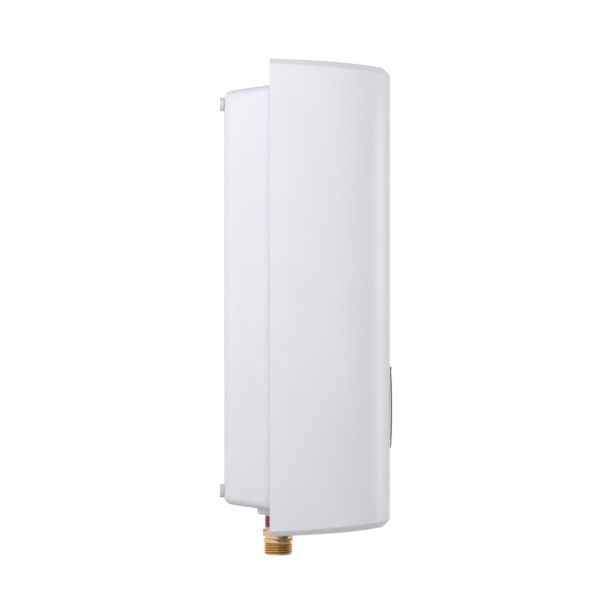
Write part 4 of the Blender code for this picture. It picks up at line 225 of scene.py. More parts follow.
tree, given, out = effect(
    "turned metal",
    [("Place", "Vector", None), ("Colour", "Color", WHITE), ("Root shade and stain colour", "Color", (0, 0, 0, 1)),
     ("Axis X", "Float", 0.0), ("Axis Y", "Float", 0.0), ("Root radius", "Float", 0.0),
     ("Crest radius", "Float", 0.01), ("Thread top", "Float", 0.0), ("Ring scale", "Float", 3000.0),
     ("Gloss", "Float", 0.25)],
    [("Colour", "Color"), ("Roughness", "Float"), ("Height", "Float")])
parts = parts_of(tree, given["Place"])
across = maths(tree, "SUBTRACT", parts["X"], given["Axis X"])
along = maths(tree, "SUBTRACT", parts["Y"], given["Axis Y"])
radius = maths(tree, "SQRT", maths(tree, "ADD", product(tree, across, across), product(tree, along, along)))
ring_place = put(tree, "ShaderNodeCombineXYZ", {0: radius, 2: parts["Z"]}).outputs[0]
tree.links.new(noise(tree, ring_place, given["Ring scale"]), out["Height"])
stain = noise(tree, given["Place"], STAIN_SCALE, detail=4.0, roughness=0.6)
# Painted shade and painted highlight: the thread's colour goes from the darker root colour at its roots to
# the paler colour at its crests.
painted_crest_light = ramp(tree, radius, given["Root radius"], given["Crest radius"])
crest = maths(tree, "MAXIMUM", painted_crest_light, maths(tree, "GREATER_THAN", parts["Z"], given["Thread top"]))
# Stains also pull the colour towards the darker root colour, and that part is real discolouration.
unshaded_unstained = product(tree, crest, ramp(tree, stain, low=0.25, high=0.6, to_low=0.75))
tree.links.new(blend_colours(tree, unshaded_unstained, given["Root shade and stain colour"], given["Colour"]), out["Colour"])
worn = maths(tree, "ADD", given["Gloss"], product(tree, maths(tree, "SUBTRACT", stain, 0.5), GLOSS_SWING))
dulled = product(tree, maths(tree, "SUBTRACT", 1.0, crest), GLOSS_LOST_IN_ROOTS)
tree.links.new(maths(tree, "ADD", worn, dulled), out["Roughness"])
TURNED_METAL = tree

# %% Drawn metal: streaks along one direction, for plated steel, aluminium and wire
STREAK_SCALE, CLOUD_SCALE = 900.0, 120.0
STREAK_GLOSS_SWING = 0.2

tree, given, out = effect(
    "drawn metal",
    [("Place", "Vector", None), ("Colour", "Color", WHITE), ("Stain colour", "Color", (0, 0, 0, 1)),
     ("Stretch", "Vector", (1, 1, 1)), ("Stain amount", "Float", 0.4), ("Gloss", "Float", 0.3)],
    [("Colour", "Color"), ("Roughness", "Float"), ("Height", "Float")])
pulled = vector_maths(tree, "MULTIPLY", given["Place"], given["Stretch"])[0]
streaks = noise(tree, pulled, STREAK_SCALE, detail=3.0, roughness=0.6)
clouds = ramp(tree, noise(tree, given["Place"], CLOUD_SCALE, detail=4.0, roughness=0.6), low=0.4, high=0.75)
stained = product(tree, clouds, given["Stain amount"])
tree.links.new(blend_colours(tree, stained, given["Colour"], given["Stain colour"]), out["Colour"])
rough = maths(tree, "ADD", given["Gloss"], product(tree, streaks, STREAK_GLOSS_SWING))
tree.links.new(rough, out["Roughness"])
tree.links.new(streaks, out["Height"])
DRAWN_METAL = tree

# %% [markdown]
# A printed board is flat and upright, so its pattern needs X and Z only. Random square cells split it
# into patches. Each patch draws its own lot: upright tracks, level tracks or none. A second and finer
# set of cells gives the round pads, which are bare metal.

# %% Printed board: bundles of tracks under a green mask, with bright pads
PATCH_DISORDER = 0.9
TRACKS_ABOVE_LOT = 0.3
PADS_PER_METRE = 300.0

tree, given, out = effect(
    "printed board",
    [("Place", "Vector", None), ("Mask colour", "Color", (0, 1, 0, 1)),
     ("Track colour", "Color", (0, 0.5, 0, 1)), ("Pad colour", "Color", (0.6, 0.6, 0.6, 1)),
     ("Track pitch", "Float", 0.0011), ("Patch size", "Float", 0.009)],
    [("Colour", "Color"), ("Metal", "Float"), ("Height", "Float")])
parts = parts_of(tree, given["Place"])
flat_place = put(tree, "ShaderNodeCombineXYZ", {0: parts["X"], 1: parts["Z"]}).outputs[0]
patch_scale = maths(tree, "DIVIDE", 1.0, given["Patch size"])
cells = {"Vector": flat_place, "Scale": patch_scale, "Randomness": PATCH_DISORDER}
patch = put(tree, "ShaderNodeTexVoronoi", cells, distance="CHEBYCHEV").outputs
lot = put(tree, "ShaderNodeSeparateColor", {0: patch["Color"]}).outputs
upright = maths(tree, "GREATER_THAN", lot["Red"], 0.5)
line_place = blend_values(tree, upright, parts["Z"], parts["X"])
within = maths(tree, "FRACT", maths(tree, "DIVIDE", line_place, given["Track pitch"]))
from_middle = maths(tree, "ABSOLUTE", maths(tree, "SUBTRACT", within, 0.5))
stripes = ramp(tree, from_middle, low=0.27, high=0.2)
runs = product(tree, stripes, maths(tree, "GREATER_THAN", lot["Green"], TRACKS_ABOVE_LOT))
holes = put(tree, "ShaderNodeTexVoronoi", {"Vector": flat_place, "Scale": PADS_PER_METRE}).outputs["Distance"]
pads = ramp(tree, holes, low=0.14, high=0.11)
tracked = blend_colours(tree, runs, given["Mask colour"], given["Track colour"])
tree.links.new(blend_colours(tree, pads, tracked, given["Pad colour"]), out["Colour"])
tree.links.new(pads, out["Metal"])
tree.links.new(maths(tree, "ADD", runs, pads), out["Height"])
PRINTED_BOARD = tree

# %% [markdown]
# ## The finishes
#
# Each finish is one function call: a colour as a picture shows it, a gloss, and how much the effects
# may change them. Numbers that hold for the whole surface go straight onto the shader.

# %% How a finish is put together
def start_finish(name, metallic=0.0):
    """A new material, its graph, its shader, and the place on the object that its effects work on."""
    material = bpy.data.materials.new(name)
    material.use_nodes = True
    tree = material.node_tree
    shader = tree.nodes["Principled BSDF"]
    shader.inputs["Metallic"].default_value = metallic
    place = put(tree, "ShaderNodeTexCoord").outputs["Object"]
    return material, tree, shader, place


def grouped(tree, group, sockets):
    """The outputs of an effect that is given these sockets."""
    return put(tree, "ShaderNodeGroup", sockets, node_tree=group).outputs


def raise_surface(tree, shader, height, distance):
    """Bend the shader's normals as if the surface rose by distance, in metres, where height is 1."""
    bump = put(tree, "ShaderNodeBump", {"Height": height, "Distance": distance})
    tree.links.new(bump.outputs["Normal"], shader.inputs["Normal"])


# %% Moulded plastic and rubber
def moulded(name, colour, drift_colour, gloss, drift=0.5, scale=20.0, spread=0.08, grain=1500.0,
            grain_height=0.00002, dust=0.06):
    """Plastic or rubber: a moulded skin with a little dust on it."""
    material, tree, shader, place = start_finish(name)
    skin = grouped(tree, MOULDED_SKIN, {
        "Place": place, "Colour": linear(*colour), "Drift colour": linear(*drift_colour),
        "Drift amount": drift, "Drift scale": scale, "Gloss": gloss, "Gloss spread": spread,
        "Grain scale": grain})
    dusty = grouped(tree, SETTLED_DUST, {"Place": place, "Colour": skin["Colour"], "Amount": dust})
    tree.links.new(dusty["Colour"], shader.inputs["Base Color"])
    tree.links.new(skin["Roughness"], shader.inputs["Roughness"])
    raise_surface(tree, shader, skin["Height"], grain_height)
    return material


# %% Metals
METAL_MARK_HEIGHT = 0.00001
# The second colour is painted shade in a thread's roots, and random stains lean towards it too.
BRASS_COLOUR, BRASS_ROOT_SHADE_AND_STAIN_COLOUR = linear(224, 195, 148), linear(204, 158, 84)


def metal_finish(name, group, sockets):
    """A metal whose colour, roughness and height come from one effect."""
    material, tree, shader, place = start_finish(name, metallic=1.0)
    metal = grouped(tree, group, {"Place": place, **sockets})
    tree.links.new(metal["Colour"], shader.inputs["Base Color"])
    tree.links.new(metal["Roughness"], shader.inputs["Roughness"])
    raise_surface(tree, shader, metal["Height"], METAL_MARK_HEIGHT)
    return material


def drawn(name, colour, stain_colour, gloss, stretch, stain=0.4):
    """A metal with streaks along the axis for which stretch is smallest."""
    return metal_finish(name, DRAWN_METAL, {
        "Colour": linear(*colour), "Stain colour": linear(*stain_colour), "Stretch": stretch,
        "Stain amount": stain, "Gloss": gloss})


def turned_brass(name, centre, root_radius=0.0, crest_radius=0.001, thread_top=0.0, gloss=0.25):
    """Brass turned round the upright axis through centre (x, y). Below thread_top the thread takes a darker
    colour towards its roots, which is painted shade, and stays paler on its crests, which is a painted
    highlight. Random stains take the same darker colour."""
    return metal_finish(name, TURNED_METAL, {
        "Colour": BRASS_COLOUR, "Root shade and stain colour": BRASS_ROOT_SHADE_AND_STAIN_COLOUR, "Axis X": centre[0], "Axis Y": centre[1],
        "Root radius": root_radius, "Crest radius": crest_radius, "Thread top": thread_top, "Gloss": gloss})


# %% Printed board
BOARD_DUST = 0.2
BOARD_ROUGHNESS = 0.32
BOARD_RELIEF = 0.00004


def board_finish(name):
    """A printed board with a little dust on it."""
    material, tree, shader, place = start_finish(name)
    board = grouped(tree, PRINTED_BOARD, {
        "Place": place, "Mask colour": linear(22, 92, 58), "Track colour": linear(40, 122, 74),
        "Pad colour": linear(190, 190, 180)})
    dusty = grouped(tree, SETTLED_DUST, {"Place": place, "Colour": board["Colour"], "Amount": BOARD_DUST})
    tree.links.new(dusty["Colour"], shader.inputs["Base Color"])
    tree.links.new(board["Metal"], shader.inputs["Metallic"])
    shader.inputs["Roughness"].default_value = BOARD_ROUGHNESS
    raise_surface(tree, shader, board["Height"], BOARD_RELIEF)
    return material


# %% The finishes themselves
VALVE_AXIS = (0.05, -0.0417)
FINISH = {
    "white_plastic": moulded("white plastic", (240, 240, 245), (236, 236, 242), 0.25, spread=0.06,
                             grain=1400.0, grain_height=0.000004, dust=0.015),
    "pale_plastic": moulded("pale plastic", (234, 234, 239), (228, 228, 234), 0.3, grain_height=0.000006),
    "grey_plastic": moulded("grey plastic", (134, 137, 142), (122, 125, 131), 0.45),
    "pale_rubber": moulded("pale rubber", (222, 223, 222), (214, 215, 213), 0.6, scale=90.0),
    "dark_gloss": moulded("dark gloss", (30, 31, 34), (25, 26, 30), 0.1, spread=0.06,
                          grain_height=0.000002, dust=0.02),
    "satin_black": moulded("satin black", (33, 34, 37), (27, 28, 31), 0.3, spread=0.1,
                           grain_height=0.00001, dust=0.03),
    "black_plastic": moulded("black plastic", (38, 38, 41), (30, 30, 33), 0.42, grain_height=0.00004,
                             dust=0.25),
    "red_plastic": moulded("red plastic", (148, 23, 43), (132, 17, 34), 0.5, scale=60.0),
    "blue_plastic": moulded("blue plastic", (30, 84, 158), (22, 70, 140), 0.38, scale=60.0),
    "nylon": moulded("nylon", (236, 229, 212), (226, 217, 196), 0.45, scale=80.0),
    "heater_plastic": moulded("glass-filled plastic", (74, 77, 80), (60, 63, 67), 0.5, scale=45.0,
                              spread=0.16, grain=700.0, grain_height=0.00007, dust=0.2),
    "rubber": moulded("rubber", (36, 36, 37), (46, 46, 47), 0.72, scale=90.0, grain=900.0,
                      grain_height=0.00005),
    "brown_wire": moulded("brown wire", (104, 62, 38), (90, 52, 32), 0.4, scale=90.0),
    "blue_wire": moulded("blue wire", (42, 84, 160), (34, 72, 142), 0.4, scale=90.0),
    "earth_wire": moulded("earth wire", (92, 150, 46), (214, 196, 52), 0.4, drift=1.0, scale=170.0),
    "ribbon_grey": moulded("ribbon", (170, 172, 177), (158, 160, 166), 0.45, scale=60.0),
    "button_red": moulded("red button", (188, 38, 32), (172, 30, 26), 0.35, scale=90.0),
    "steel": drawn("plated steel", (198, 200, 204), (150, 148, 138), 0.22, (1, 1, 0.2)),
    "resistance_wire": drawn("resistance wire", (150, 144, 136), (92, 80, 74), 0.34, (1, 1, 0.1), stain=0.8),
    "aluminium": drawn("aluminium", (204, 206, 210), (172, 174, 178), 0.32, (1, 1, 0.04)),
    "brass": turned_brass("cast brass", VALVE_AXIS, gloss=0.3),
    "board_green": board_finish("circuit board"),
}
print(len(FINISH), "finishes")

# %% [markdown]
# ## Surfaces as arrays
#
# Every new piece is a grid of points: rows run one way over the surface and columns the other. Whole
# arrays are worked out at once, and neighbouring grid points become the corners of a face. Points
# that fall together, at a pole or along a seam, are welded afterwards.

# %% From a grid of points to a mesh
WELD_DISTANCE = 2e-6
SHARP_DEG = 35


def grid_corners(rows, columns, wrap_rows=False, wrap_columns=False):
    """Corner numbers of each square between two neighbouring rows and two neighbouring columns."""
    row = np.arange(rows if wrap_rows else rows - 1)[:, None]
    column = np.arange(columns if wrap_columns else columns - 1)[None, :]
    next_row, next_column = (row + 1) % rows, (column + 1) % columns
    corners = [row * columns + column, row * columns + next_column,
               next_row * columns + next_column, next_row * columns + column]
    return np.stack(corners, axis=-1).reshape(-1, 4)


def weld(mesh, sharp_deg):
    """Join points that fall together, point the faces outwards, and smooth all but the sharp edges."""
    work = bmesh.new()
    work.from_mesh(mesh)
    bmesh.ops.remove_doubles(work, verts=work.verts, dist=WELD_DISTANCE)
    bmesh.ops.dissolve_degenerate(work, edges=work.edges, dist=WELD_DISTANCE / 4)
    bmesh.ops.recalc_face_normals(work, faces=work.faces)
    work.to_mesh(mesh)
    work.free()
    mesh.shade_smooth()
    mesh.set_sharp_from_angle(angle=math.radians(sharp_deg))


def surface(name, points, corners, sharp_deg=SHARP_DEG):
    """A mesh object from points, any array whose last axis is 3, and faces (m, 4)."""
    mesh = bpy.data.meshes.new(name)
    mesh.from_pydata(points.reshape(-1, 3).tolist(), [], corners.tolist())
    weld(mesh, sharp_deg)
    piece = bpy.data.objects.new(name, mesh)
    bpy.context.scene.collection.objects.link(piece)
    return piece


# %% Softened outlines and turned pieces
SHORT_SIDE_SHARE = 0.45
SHORTEST = 1e-12


def soften(outline, reach, steps=4, closed=True):
    """Round each corner of an outline, an (n, 2) array. A corner C with its two neighbours gives the
    points A and B at reach from C, or at 45 per cent of a short side, and the curve
    (1-t)^2 A + 2t(1-t) C + t^2 B runs from A to B."""
    outline = np.asarray(outline, float)
    before, after = np.roll(outline, 1, axis=0), np.roll(outline, -1, axis=0)
    reach = np.broadcast_to(np.asarray(reach, float), len(outline))[:, None]

    def step_towards(neighbour):
        away = neighbour - outline
        length = np.maximum(np.linalg.norm(away, axis=1, keepdims=True), SHORTEST)
        return outline + away / length * np.minimum(reach, SHORT_SIDE_SHARE * length)

    start, end = step_towards(before), step_towards(after)
    if not closed:
        start[0], end[0], start[-1], end[-1] = outline[0], outline[0], outline[-1], outline[-1]
    t = np.linspace(0, 1, steps)[None, :, None]
    curve = (1 - t) ** 2 * start[:, None] + 2 * t * (1 - t) * outline[:, None] + t ** 2 * end[:, None]
    return curve.reshape(-1, 2)


def lathe_points(centre, profile, columns, facing="front"):
    """Carry a profile of (radius, distance along the axis) round an axis through centre. The axis
    points out of the wall for facing front, and up for facing up."""
    profile = np.asarray(profile, float)
    angle = 2 * np.pi * np.arange(columns) / columns
    radius, along = profile[:, 0, None], np.broadcast_to(profile[:, 1, None], (len(profile), columns))
    side, other = radius * np.cos(angle), radius * np.sin(angle)
    order = (side, -along, other) if facing == "front" else (side, other, along)
    return np.stack(order, axis=-1) + np.asarray(centre, float)


def lathe(name, centre, profile, columns, facing="front", ring=False):
    """A turned piece. A ring's profile is closed; any other profile starts and ends on the axis."""
    points = lathe_points(centre, profile, columns, facing)
    corners = grid_corners(len(points), columns, wrap_rows=ring, wrap_columns=True)
    return surface(name, points, corners)


# %% Boxes, cuts and joins, and the last step for every piece
def block(name, low, high):
    """A plain box between two corners: a closed band of four columns, with each end drawn to its middle."""
    low, high = np.asarray(low, float), np.asarray(high, float)
    middle = (low + high) / 2
    end_x, end_y = np.full(4, middle[0]), np.full(4, middle[1])
    side_x = np.array([low[0], high[0], high[0], low[0]])
    side_y = np.array([low[1], low[1], high[1], high[1]])
    rows = [(end_x, end_y, low[2]), (side_x, side_y, low[2]),
            (side_x, side_y, high[2]), (end_x, end_y, high[2])]
    points = np.stack([np.stack([x, y, np.full(4, z)], axis=-1) for x, y, z in rows])
    return surface(name, points, grid_corners(4, 4, wrap_columns=True))


def combine(piece, others, operation, sharp_deg=SHARP_DEG):
    """Cut the others from a piece, or add them to it, one after another. The result is welded each time,
    because a cut leaves gaps where it meets the slivers of the one before."""
    for other in others:
        change = piece.modifiers.new(other.name, "BOOLEAN")
        change.object, change.operation, change.solver = other, operation, "EXACT"
        shown = piece.evaluated_get(bpy.context.evaluated_depsgraph_get())
        piece.data = bpy.data.meshes.new_from_object(shown)
        piece.modifiers.clear()
        bpy.data.objects.remove(other)
        weld(piece.data, sharp_deg)


def place_piece(piece, body, slot, nodes, finish=None):
    """Give a piece its finish, tie it to the body that carries it, and let it stand for its CAD nodes."""
    piece.data.materials.clear()
    piece.data.materials.append(finish or FINISH[slot])
    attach(piece, body)
    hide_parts(*nodes)
    print(f"{piece.name}: {len(piece.data.polygons)} faces")


# %% [markdown]
# ## The cover's skin
#
# Seen from above, the cover has a flat front, a tight corner arc and a long side arc on each side,
# all meeting smoothly. A 45 degree chamfer runs round its top and bottom and grows towards the front.
# A grid follows this exactly: its columns go round the plan and its rows go from the top plate, over
# the chamfer, down the side and over to the bottom plate. A second grid, drawn in by the wall's
# thickness, is its inside, and a narrow band joins the two along the rear edge.

# %% The cover's plan, from its box, two radii and the corner arc's turn
COVER_WALL = 0.0025
COVER_CORNER_RADIUS = 0.024
COVER_SIDE_RADIUS = 0.130
COVER_CORNER_TURN = math.radians(29.6)
COVER_COLUMNS = (10, 14, 30)
cover_low, cover_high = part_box("front_cover")
COVER_HALF_WIDTH, COVER_HALF_HEIGHT = cover_high.x, cover_high.z
COVER_REAR, COVER_FRONT = -cover_high.y, -cover_low.y


def cover_centres():
    """The centres of the corner arc and the side arc, as (x, depth). Both arcs have the same direction
    where they meet, so their centres lie on one line through that point."""
    step = COVER_CORNER_RADIUS - COVER_SIDE_RADIUS
    side_depth = COVER_FRONT - COVER_CORNER_RADIUS + step * math.cos(COVER_CORNER_TURN)
    reach = math.sqrt(COVER_SIDE_RADIUS ** 2 - (COVER_REAR - side_depth) ** 2)
    side_x = COVER_HALF_WIDTH - reach
    corner_x = side_x - step * math.sin(COVER_CORNER_TURN)
    return (corner_x, COVER_FRONT - COVER_CORNER_RADIUS), (side_x, side_depth)


CORNER_CENTRE, SIDE_CENTRE = cover_centres()
flat, corner, side = [np.arange(1, n + 1) / n for n in COVER_COLUMNS]
half_x = np.concatenate([[0.0], flat * CORNER_CENTRE[0], np.full(len(corner), CORNER_CENTRE[0]),
                         np.full(len(side), SIDE_CENTRE[0])])
half_turn = np.concatenate([np.zeros(len(flat) + 1), corner, side])
half_is_side = np.concatenate([np.zeros(len(half_x) - len(side)), np.ones(len(side))]).astype(bool)


def cover_plan(inset):
    """x and depth of the cover's outline, drawn in by inset, an array whose last axis is the columns of
    the right half. A point is its arc's centre plus (radius - inset) times (sin, cos) of its heading."""
    end = np.arccos((COVER_REAR - SIDE_CENTRE[1]) / (COVER_SIDE_RADIUS - inset))
    heading = np.where(half_is_side, COVER_CORNER_TURN + (end - COVER_CORNER_TURN) * half_turn,
                       COVER_CORNER_TURN * half_turn)
    radius = np.where(half_is_side, COVER_SIDE_RADIUS, COVER_CORNER_RADIUS) - inset
    centre_depth = np.where(half_is_side, SIDE_CENTRE[1], CORNER_CENTRE[1])
    x, depth = half_x + radius * np.sin(heading), centre_depth + radius * np.cos(heading)
    whole_x = np.concatenate([-x[..., :0:-1], x], axis=-1)
    whole_depth = np.concatenate([depth[..., :0:-1], depth], axis=-1)
    return whole_x, whole_depth


print(f"flat front {2000 * CORNER_CENTRE[0]:.1f} mm wide, side centre {SIDE_CENTRE}")

# %% One skin of the cover
COVER_CHAMFER_FRONT = 0.0052
COVER_CHAMFER_REAR = 0.0038
CHAMFER_SOFTNESS = 0.14
CHAMFER_STEPS = 5
SIDE_ROWS = 24
PLATE_ROWS = 14


def cover_skin(wall):
    """One skin, as a grid (rows, columns, 3), drawn in by the wall. The chamfer is a unit section of
    (inset, drop) from the plate to the side, its two edges softened, times the chamfer's own size."""
    outer_depth = cover_plan(np.zeros(len(half_x)))[1][len(half_x) - 1:]
    back = (COVER_FRONT - outer_depth) / (COVER_FRONT - COVER_REAR)
    change = COVER_CHAMFER_REAR - COVER_CHAMFER_FRONT
    chamfer = COVER_CHAMFER_FRONT + change * back - wall * (2 - math.sqrt(2))
    chamfer_all = np.concatenate([chamfer[:0:-1], chamfer])
    reach = 1 + 2 * CHAMFER_SOFTNESS
    section = soften([(reach, 0), (1, 0), (0, 1), (0, reach)], CHAMFER_SOFTNESS, CHAMFER_STEPS, closed=False)
    # Each open end comes out as CHAMFER_STEPS equal points, of which one is kept.
    section = section[CHAMFER_STEPS - 1:1 - CHAMFER_STEPS]
    x, depth = cover_plan(wall + section[:, :1] * chamfer[None, :])
    z = COVER_HALF_HEIGHT - wall - section[:, 1:] * chamfer_all[None, :]
    share = np.linspace(0, 1, PLATE_ROWS)[:-1, None]
    plate_x = np.broadcast_to(x[:1], (PLATE_ROWS - 1, x.shape[1]))
    plate_depth = COVER_REAR + share * (depth[:1] - COVER_REAR)
    plate_z = np.full_like(plate_depth, COVER_HALF_HEIGHT - wall)
    rise = np.linspace(1, -1, SIDE_ROWS)[1:-1, None]
    top = [np.concatenate([plate_x, x]), np.concatenate([plate_depth, depth]), np.concatenate([plate_z, z])]
    side = [np.repeat(x[-1:], SIDE_ROWS - 2, 0), np.repeat(depth[-1:], SIDE_ROWS - 2, 0), rise * z[-1:]]
    bottom = [top[0][::-1], top[1][::-1], -top[2][::-1]]
    x, depth, z = [np.concatenate(stack) for stack in zip(top, side, bottom)]
    return np.stack([x, -depth, z], axis=-1)


# %% Both skins of the cover and the band that joins them
def closed_shell(name, outer, inner):
    """Two grids of the same size, one inside the other, joined along their four borders."""
    rows, columns = outer.shape[:2]
    count = rows * columns
    faces = grid_corners(rows, columns)
    number = np.arange(count).reshape(rows, columns)
    border = np.concatenate([number[0, :-1], number[:-1, -1], number[-1, :0:-1], number[:0:-1, 0]])
    following = np.roll(border, -1)
    band = np.stack([border, following, following + count, border + count], axis=-1)
    points = np.concatenate([outer.reshape(-1, 3), inner.reshape(-1, 3)])
    return surface(name, points, np.concatenate([faces, faces[:, ::-1] + count, band]))


cover = closed_shell("cover_skin", cover_skin(0.0), cover_skin(COVER_WALL))
print(f"skin: {len(cover.data.vertices)} points, {tuple(round(v, 4) for v in cover.dimensions)}")

# %% [markdown]
# A ledge inside the cover rests on the housing's rim, and a tower stands on its floor for the one
# screw that holds it. Both are added to the shell. The opening for the control with its shallow seat,
# the two notches round the water fittings, the screw's way in and two slots for the housing's lugs
# are then cut out of it.

# %% The cover's ledge and tower
LEDGE_REAR, LEDGE_FRONT = 0.0563, 0.0583
LEDGE_OPENING = (0.0815, 0.1492)
LEDGE_CORNER_CUT = 0.003
TOWER_RADIUS = 0.0062
TOWER_TOP = 0.1582
screw_low, screw_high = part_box("cover_screw")
SCREW_DEPTH = -(screw_low.y + screw_high.y) / 2


def corner_cut_frame(half_width, half_height, cut):
    """Eight points of an upright rectangle with its corners cut, from the right side anticlockwise."""
    x = np.array([1, 1, 1, -1, -1, -1, -1, 1]) * half_width
    z = np.array([-1, 1, 1, 1, 1, -1, -1, -1]) * half_height
    x = x - np.array([0, 0, 1, -1, 0, 0, -1, 1]) * cut
    z = z - np.array([-1, 1, 0, 0, 1, -1, 0, 0]) * cut
    return x, z


ledge_middle = (LEDGE_REAR + LEDGE_FRONT) / 2
ledge_half_width = SIDE_CENTRE[0] + math.sqrt(COVER_SIDE_RADIUS ** 2 - (ledge_middle - SIDE_CENTRE[1]) ** 2)
wide = corner_cut_frame(ledge_half_width - COVER_WALL / 2, COVER_HALF_HEIGHT - COVER_WALL / 2,
                        COVER_CHAMFER_REAR)
narrow = corner_cut_frame(*LEDGE_OPENING, LEDGE_CORNER_CUT)
rows = [(wide, LEDGE_REAR), (wide, LEDGE_FRONT), (narrow, LEDGE_FRONT), (narrow, LEDGE_REAR)]
ledge_points = np.stack([np.stack([x, np.full(8, -depth), z], axis=-1) for (x, z), depth in rows])
ledge = surface("ledge", ledge_points, grid_corners(4, 8, wrap_rows=True, wrap_columns=True))
tower_low = -COVER_HALF_HEIGHT + COVER_WALL / 2
tower_profile = [(0, tower_low), (TOWER_RADIUS, tower_low), (TOWER_RADIUS, -TOWER_TOP), (0, -TOWER_TOP)]
tower = lathe("tower", (0, -SCREW_DEPTH, 0), tower_profile, columns=48, facing="up")
combine(cover, [ledge, tower], "UNION")
print(f"with ledge and tower: {len(cover.data.polygons)} faces")

# %% Sizes of the cover's openings
OVERRUN = 0.002
CONTROL_HOLE_RADIUS = 0.0313
CONTROL_SEAT_RADIUS = 0.0325
CONTROL_SEAT_DEPTH = 0.1234
CONTROL_CUT_REACH = 0.01
NOTCH_RADIUS = 0.0133
NOTCH_ARC_POINTS = 33
SCREW_HOLE_RADIUS = 0.0022
SCREW_RECESS_RADIUS = 0.0043
SCREW_RECESS_TOP = 0.165
LUG_SLOT_X, LUG_SLOT_HALF_WIDTH = 0.045, 0.0066
LUG_SLOT_BOTTOM, LUG_SLOT_TOP = 0.1512, 0.1552
bezel_low, bezel_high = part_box("control_bezel")
CONTROL = (0, 0, (bezel_low.z + bezel_high.z) / 2)
fitting_low, fitting_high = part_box("outlet_nipple")
FITTING_X = -(fitting_low.x + fitting_high.x) / 2
FITTING_Y = (fitting_low.y + fitting_high.y) / 2
print(f"control's middle at {1000 * CONTROL[2]:.1f} mm, fittings {2000 * FITTING_X:.1f} mm apart")


# %% Cut the cover's openings
def notch(name, x):
    """An upright cutter, round towards the front and open towards the wall: half a circle of points
    joined to two points behind the cover's rear edge. Both of its ends are drawn to the middle."""
    turn = np.linspace(0, np.pi, NOTCH_ARC_POINTS)
    across = np.concatenate([NOTCH_RADIUS * np.cos(turn), [-NOTCH_RADIUS, NOTCH_RADIUS]]) + x
    depth = np.concatenate([NOTCH_RADIUS * np.sin(turn) - FITTING_Y, [COVER_REAR - OVERRUN] * 2])
    low, high = -COVER_HALF_HEIGHT - OVERRUN, -COVER_HALF_HEIGHT + COVER_WALL + OVERRUN
    rings = [np.stack([across * k + x * (1 - k), -(depth * k - FITTING_Y * (1 - k)),
                       np.full(len(across), z)], axis=-1)
             for k, z in ((0, low), (1, low), (1, high), (0, high))]
    return surface(name, np.stack(rings), grid_corners(4, len(across), wrap_columns=True))


control_cut_back = COVER_FRONT - CONTROL_CUT_REACH
control_opening = [(0, control_cut_back), (CONTROL_HOLE_RADIUS, control_cut_back),
                   (CONTROL_HOLE_RADIUS, CONTROL_SEAT_DEPTH), (CONTROL_SEAT_RADIUS, CONTROL_SEAT_DEPTH),
                   (CONTROL_SEAT_RADIUS, COVER_FRONT + OVERRUN), (0, COVER_FRONT + OVERRUN)]
screw_way = [(0, -COVER_HALF_HEIGHT - OVERRUN), (SCREW_RECESS_RADIUS, -COVER_HALF_HEIGHT - OVERRUN),
             (SCREW_RECESS_RADIUS, -SCREW_RECESS_TOP), (SCREW_HOLE_RADIUS, -SCREW_RECESS_TOP),
             (SCREW_HOLE_RADIUS, -TOWER_TOP + OVERRUN), (0, -TOWER_TOP + OVERRUN)]
lug_slots = [block(f"lug_slot_{n}", (x - LUG_SLOT_HALF_WIDTH, -LEDGE_FRONT - OVERRUN, LUG_SLOT_BOTTOM),
                   (x + LUG_SLOT_HALF_WIDTH, -LEDGE_REAR + OVERRUN, LUG_SLOT_TOP))
             for n, x in enumerate((-LUG_SLOT_X, LUG_SLOT_X))]
cutters = [
    lathe("control_opening", CONTROL, control_opening, columns=160),
    notch("outlet_notch", -FITTING_X),
    notch("inlet_notch", FITTING_X),
    lathe("screw_way", (0, -SCREW_DEPTH, 0), screw_way, columns=40, facing="up"),
    *lug_slots]
combine(cover, cutters, "DIFFERENCE")
place_piece(cover, "cover", "white_plastic", ["front_cover"])

# %% [markdown]
# ## The control
#
# A pale bezel is let into the cover's front. In it turns a dark ring with a small pointer, and a dark
# window covers the middle. All three are turned shapes, so each is a short profile carried round the
# control's axis, with softened edges that catch the light. Behind the ring's face a toothed inner
# wall drives a small pinion, so the ring's inner radius follows the teeth on those rows.

# %% Bezel, with its two small end marks
BEZEL_FLANGE = 0.0014
BEZEL_CUP_RADIUS = 0.031
BEZEL_INNER_RADIUS = 0.0297
BEZEL_FLOOR = 0.002
HUB_RADIUS, HUB_WALL = 0.0163, 0.0014
EDGE = 0.0003
DIAL_TURN = math.radians(140)
MARK_RADIUS, MARK_PLACE_RADIUS, MARK_PROUD = 0.0004, 0.0317, 0.0013
window_low, window_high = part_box("display_window")
BEZEL_RADIUS, BEZEL_BACK = bezel_high.x, -bezel_high.y
MARK_FRONT = -bezel_low.y
BEZEL_FRONT = MARK_FRONT - MARK_PROUD
HUB_FRONT = -window_high.y - EDGE

cup_floor, flange_back = BEZEL_BACK + BEZEL_FLOOR, BEZEL_FRONT - BEZEL_FLANGE
bezel_profile = [(HUB_RADIUS - HUB_WALL, BEZEL_BACK), (BEZEL_CUP_RADIUS, BEZEL_BACK),
                 (BEZEL_CUP_RADIUS, flange_back), (BEZEL_RADIUS, flange_back), (BEZEL_RADIUS, BEZEL_FRONT),
                 (BEZEL_INNER_RADIUS, BEZEL_FRONT), (BEZEL_INNER_RADIUS, cup_floor),
                 (HUB_RADIUS, cup_floor), (HUB_RADIUS, HUB_FRONT), (HUB_RADIUS - HUB_WALL, HUB_FRONT)]
bezel = lathe("bezel", CONTROL, soften(bezel_profile, EDGE), columns=192, ring=True)
mark_back = BEZEL_FRONT - BEZEL_FLANGE / 2
mark_profile = [(0, mark_back), (MARK_RADIUS, mark_back), (MARK_RADIUS, MARK_FRONT), (0, MARK_FRONT)]
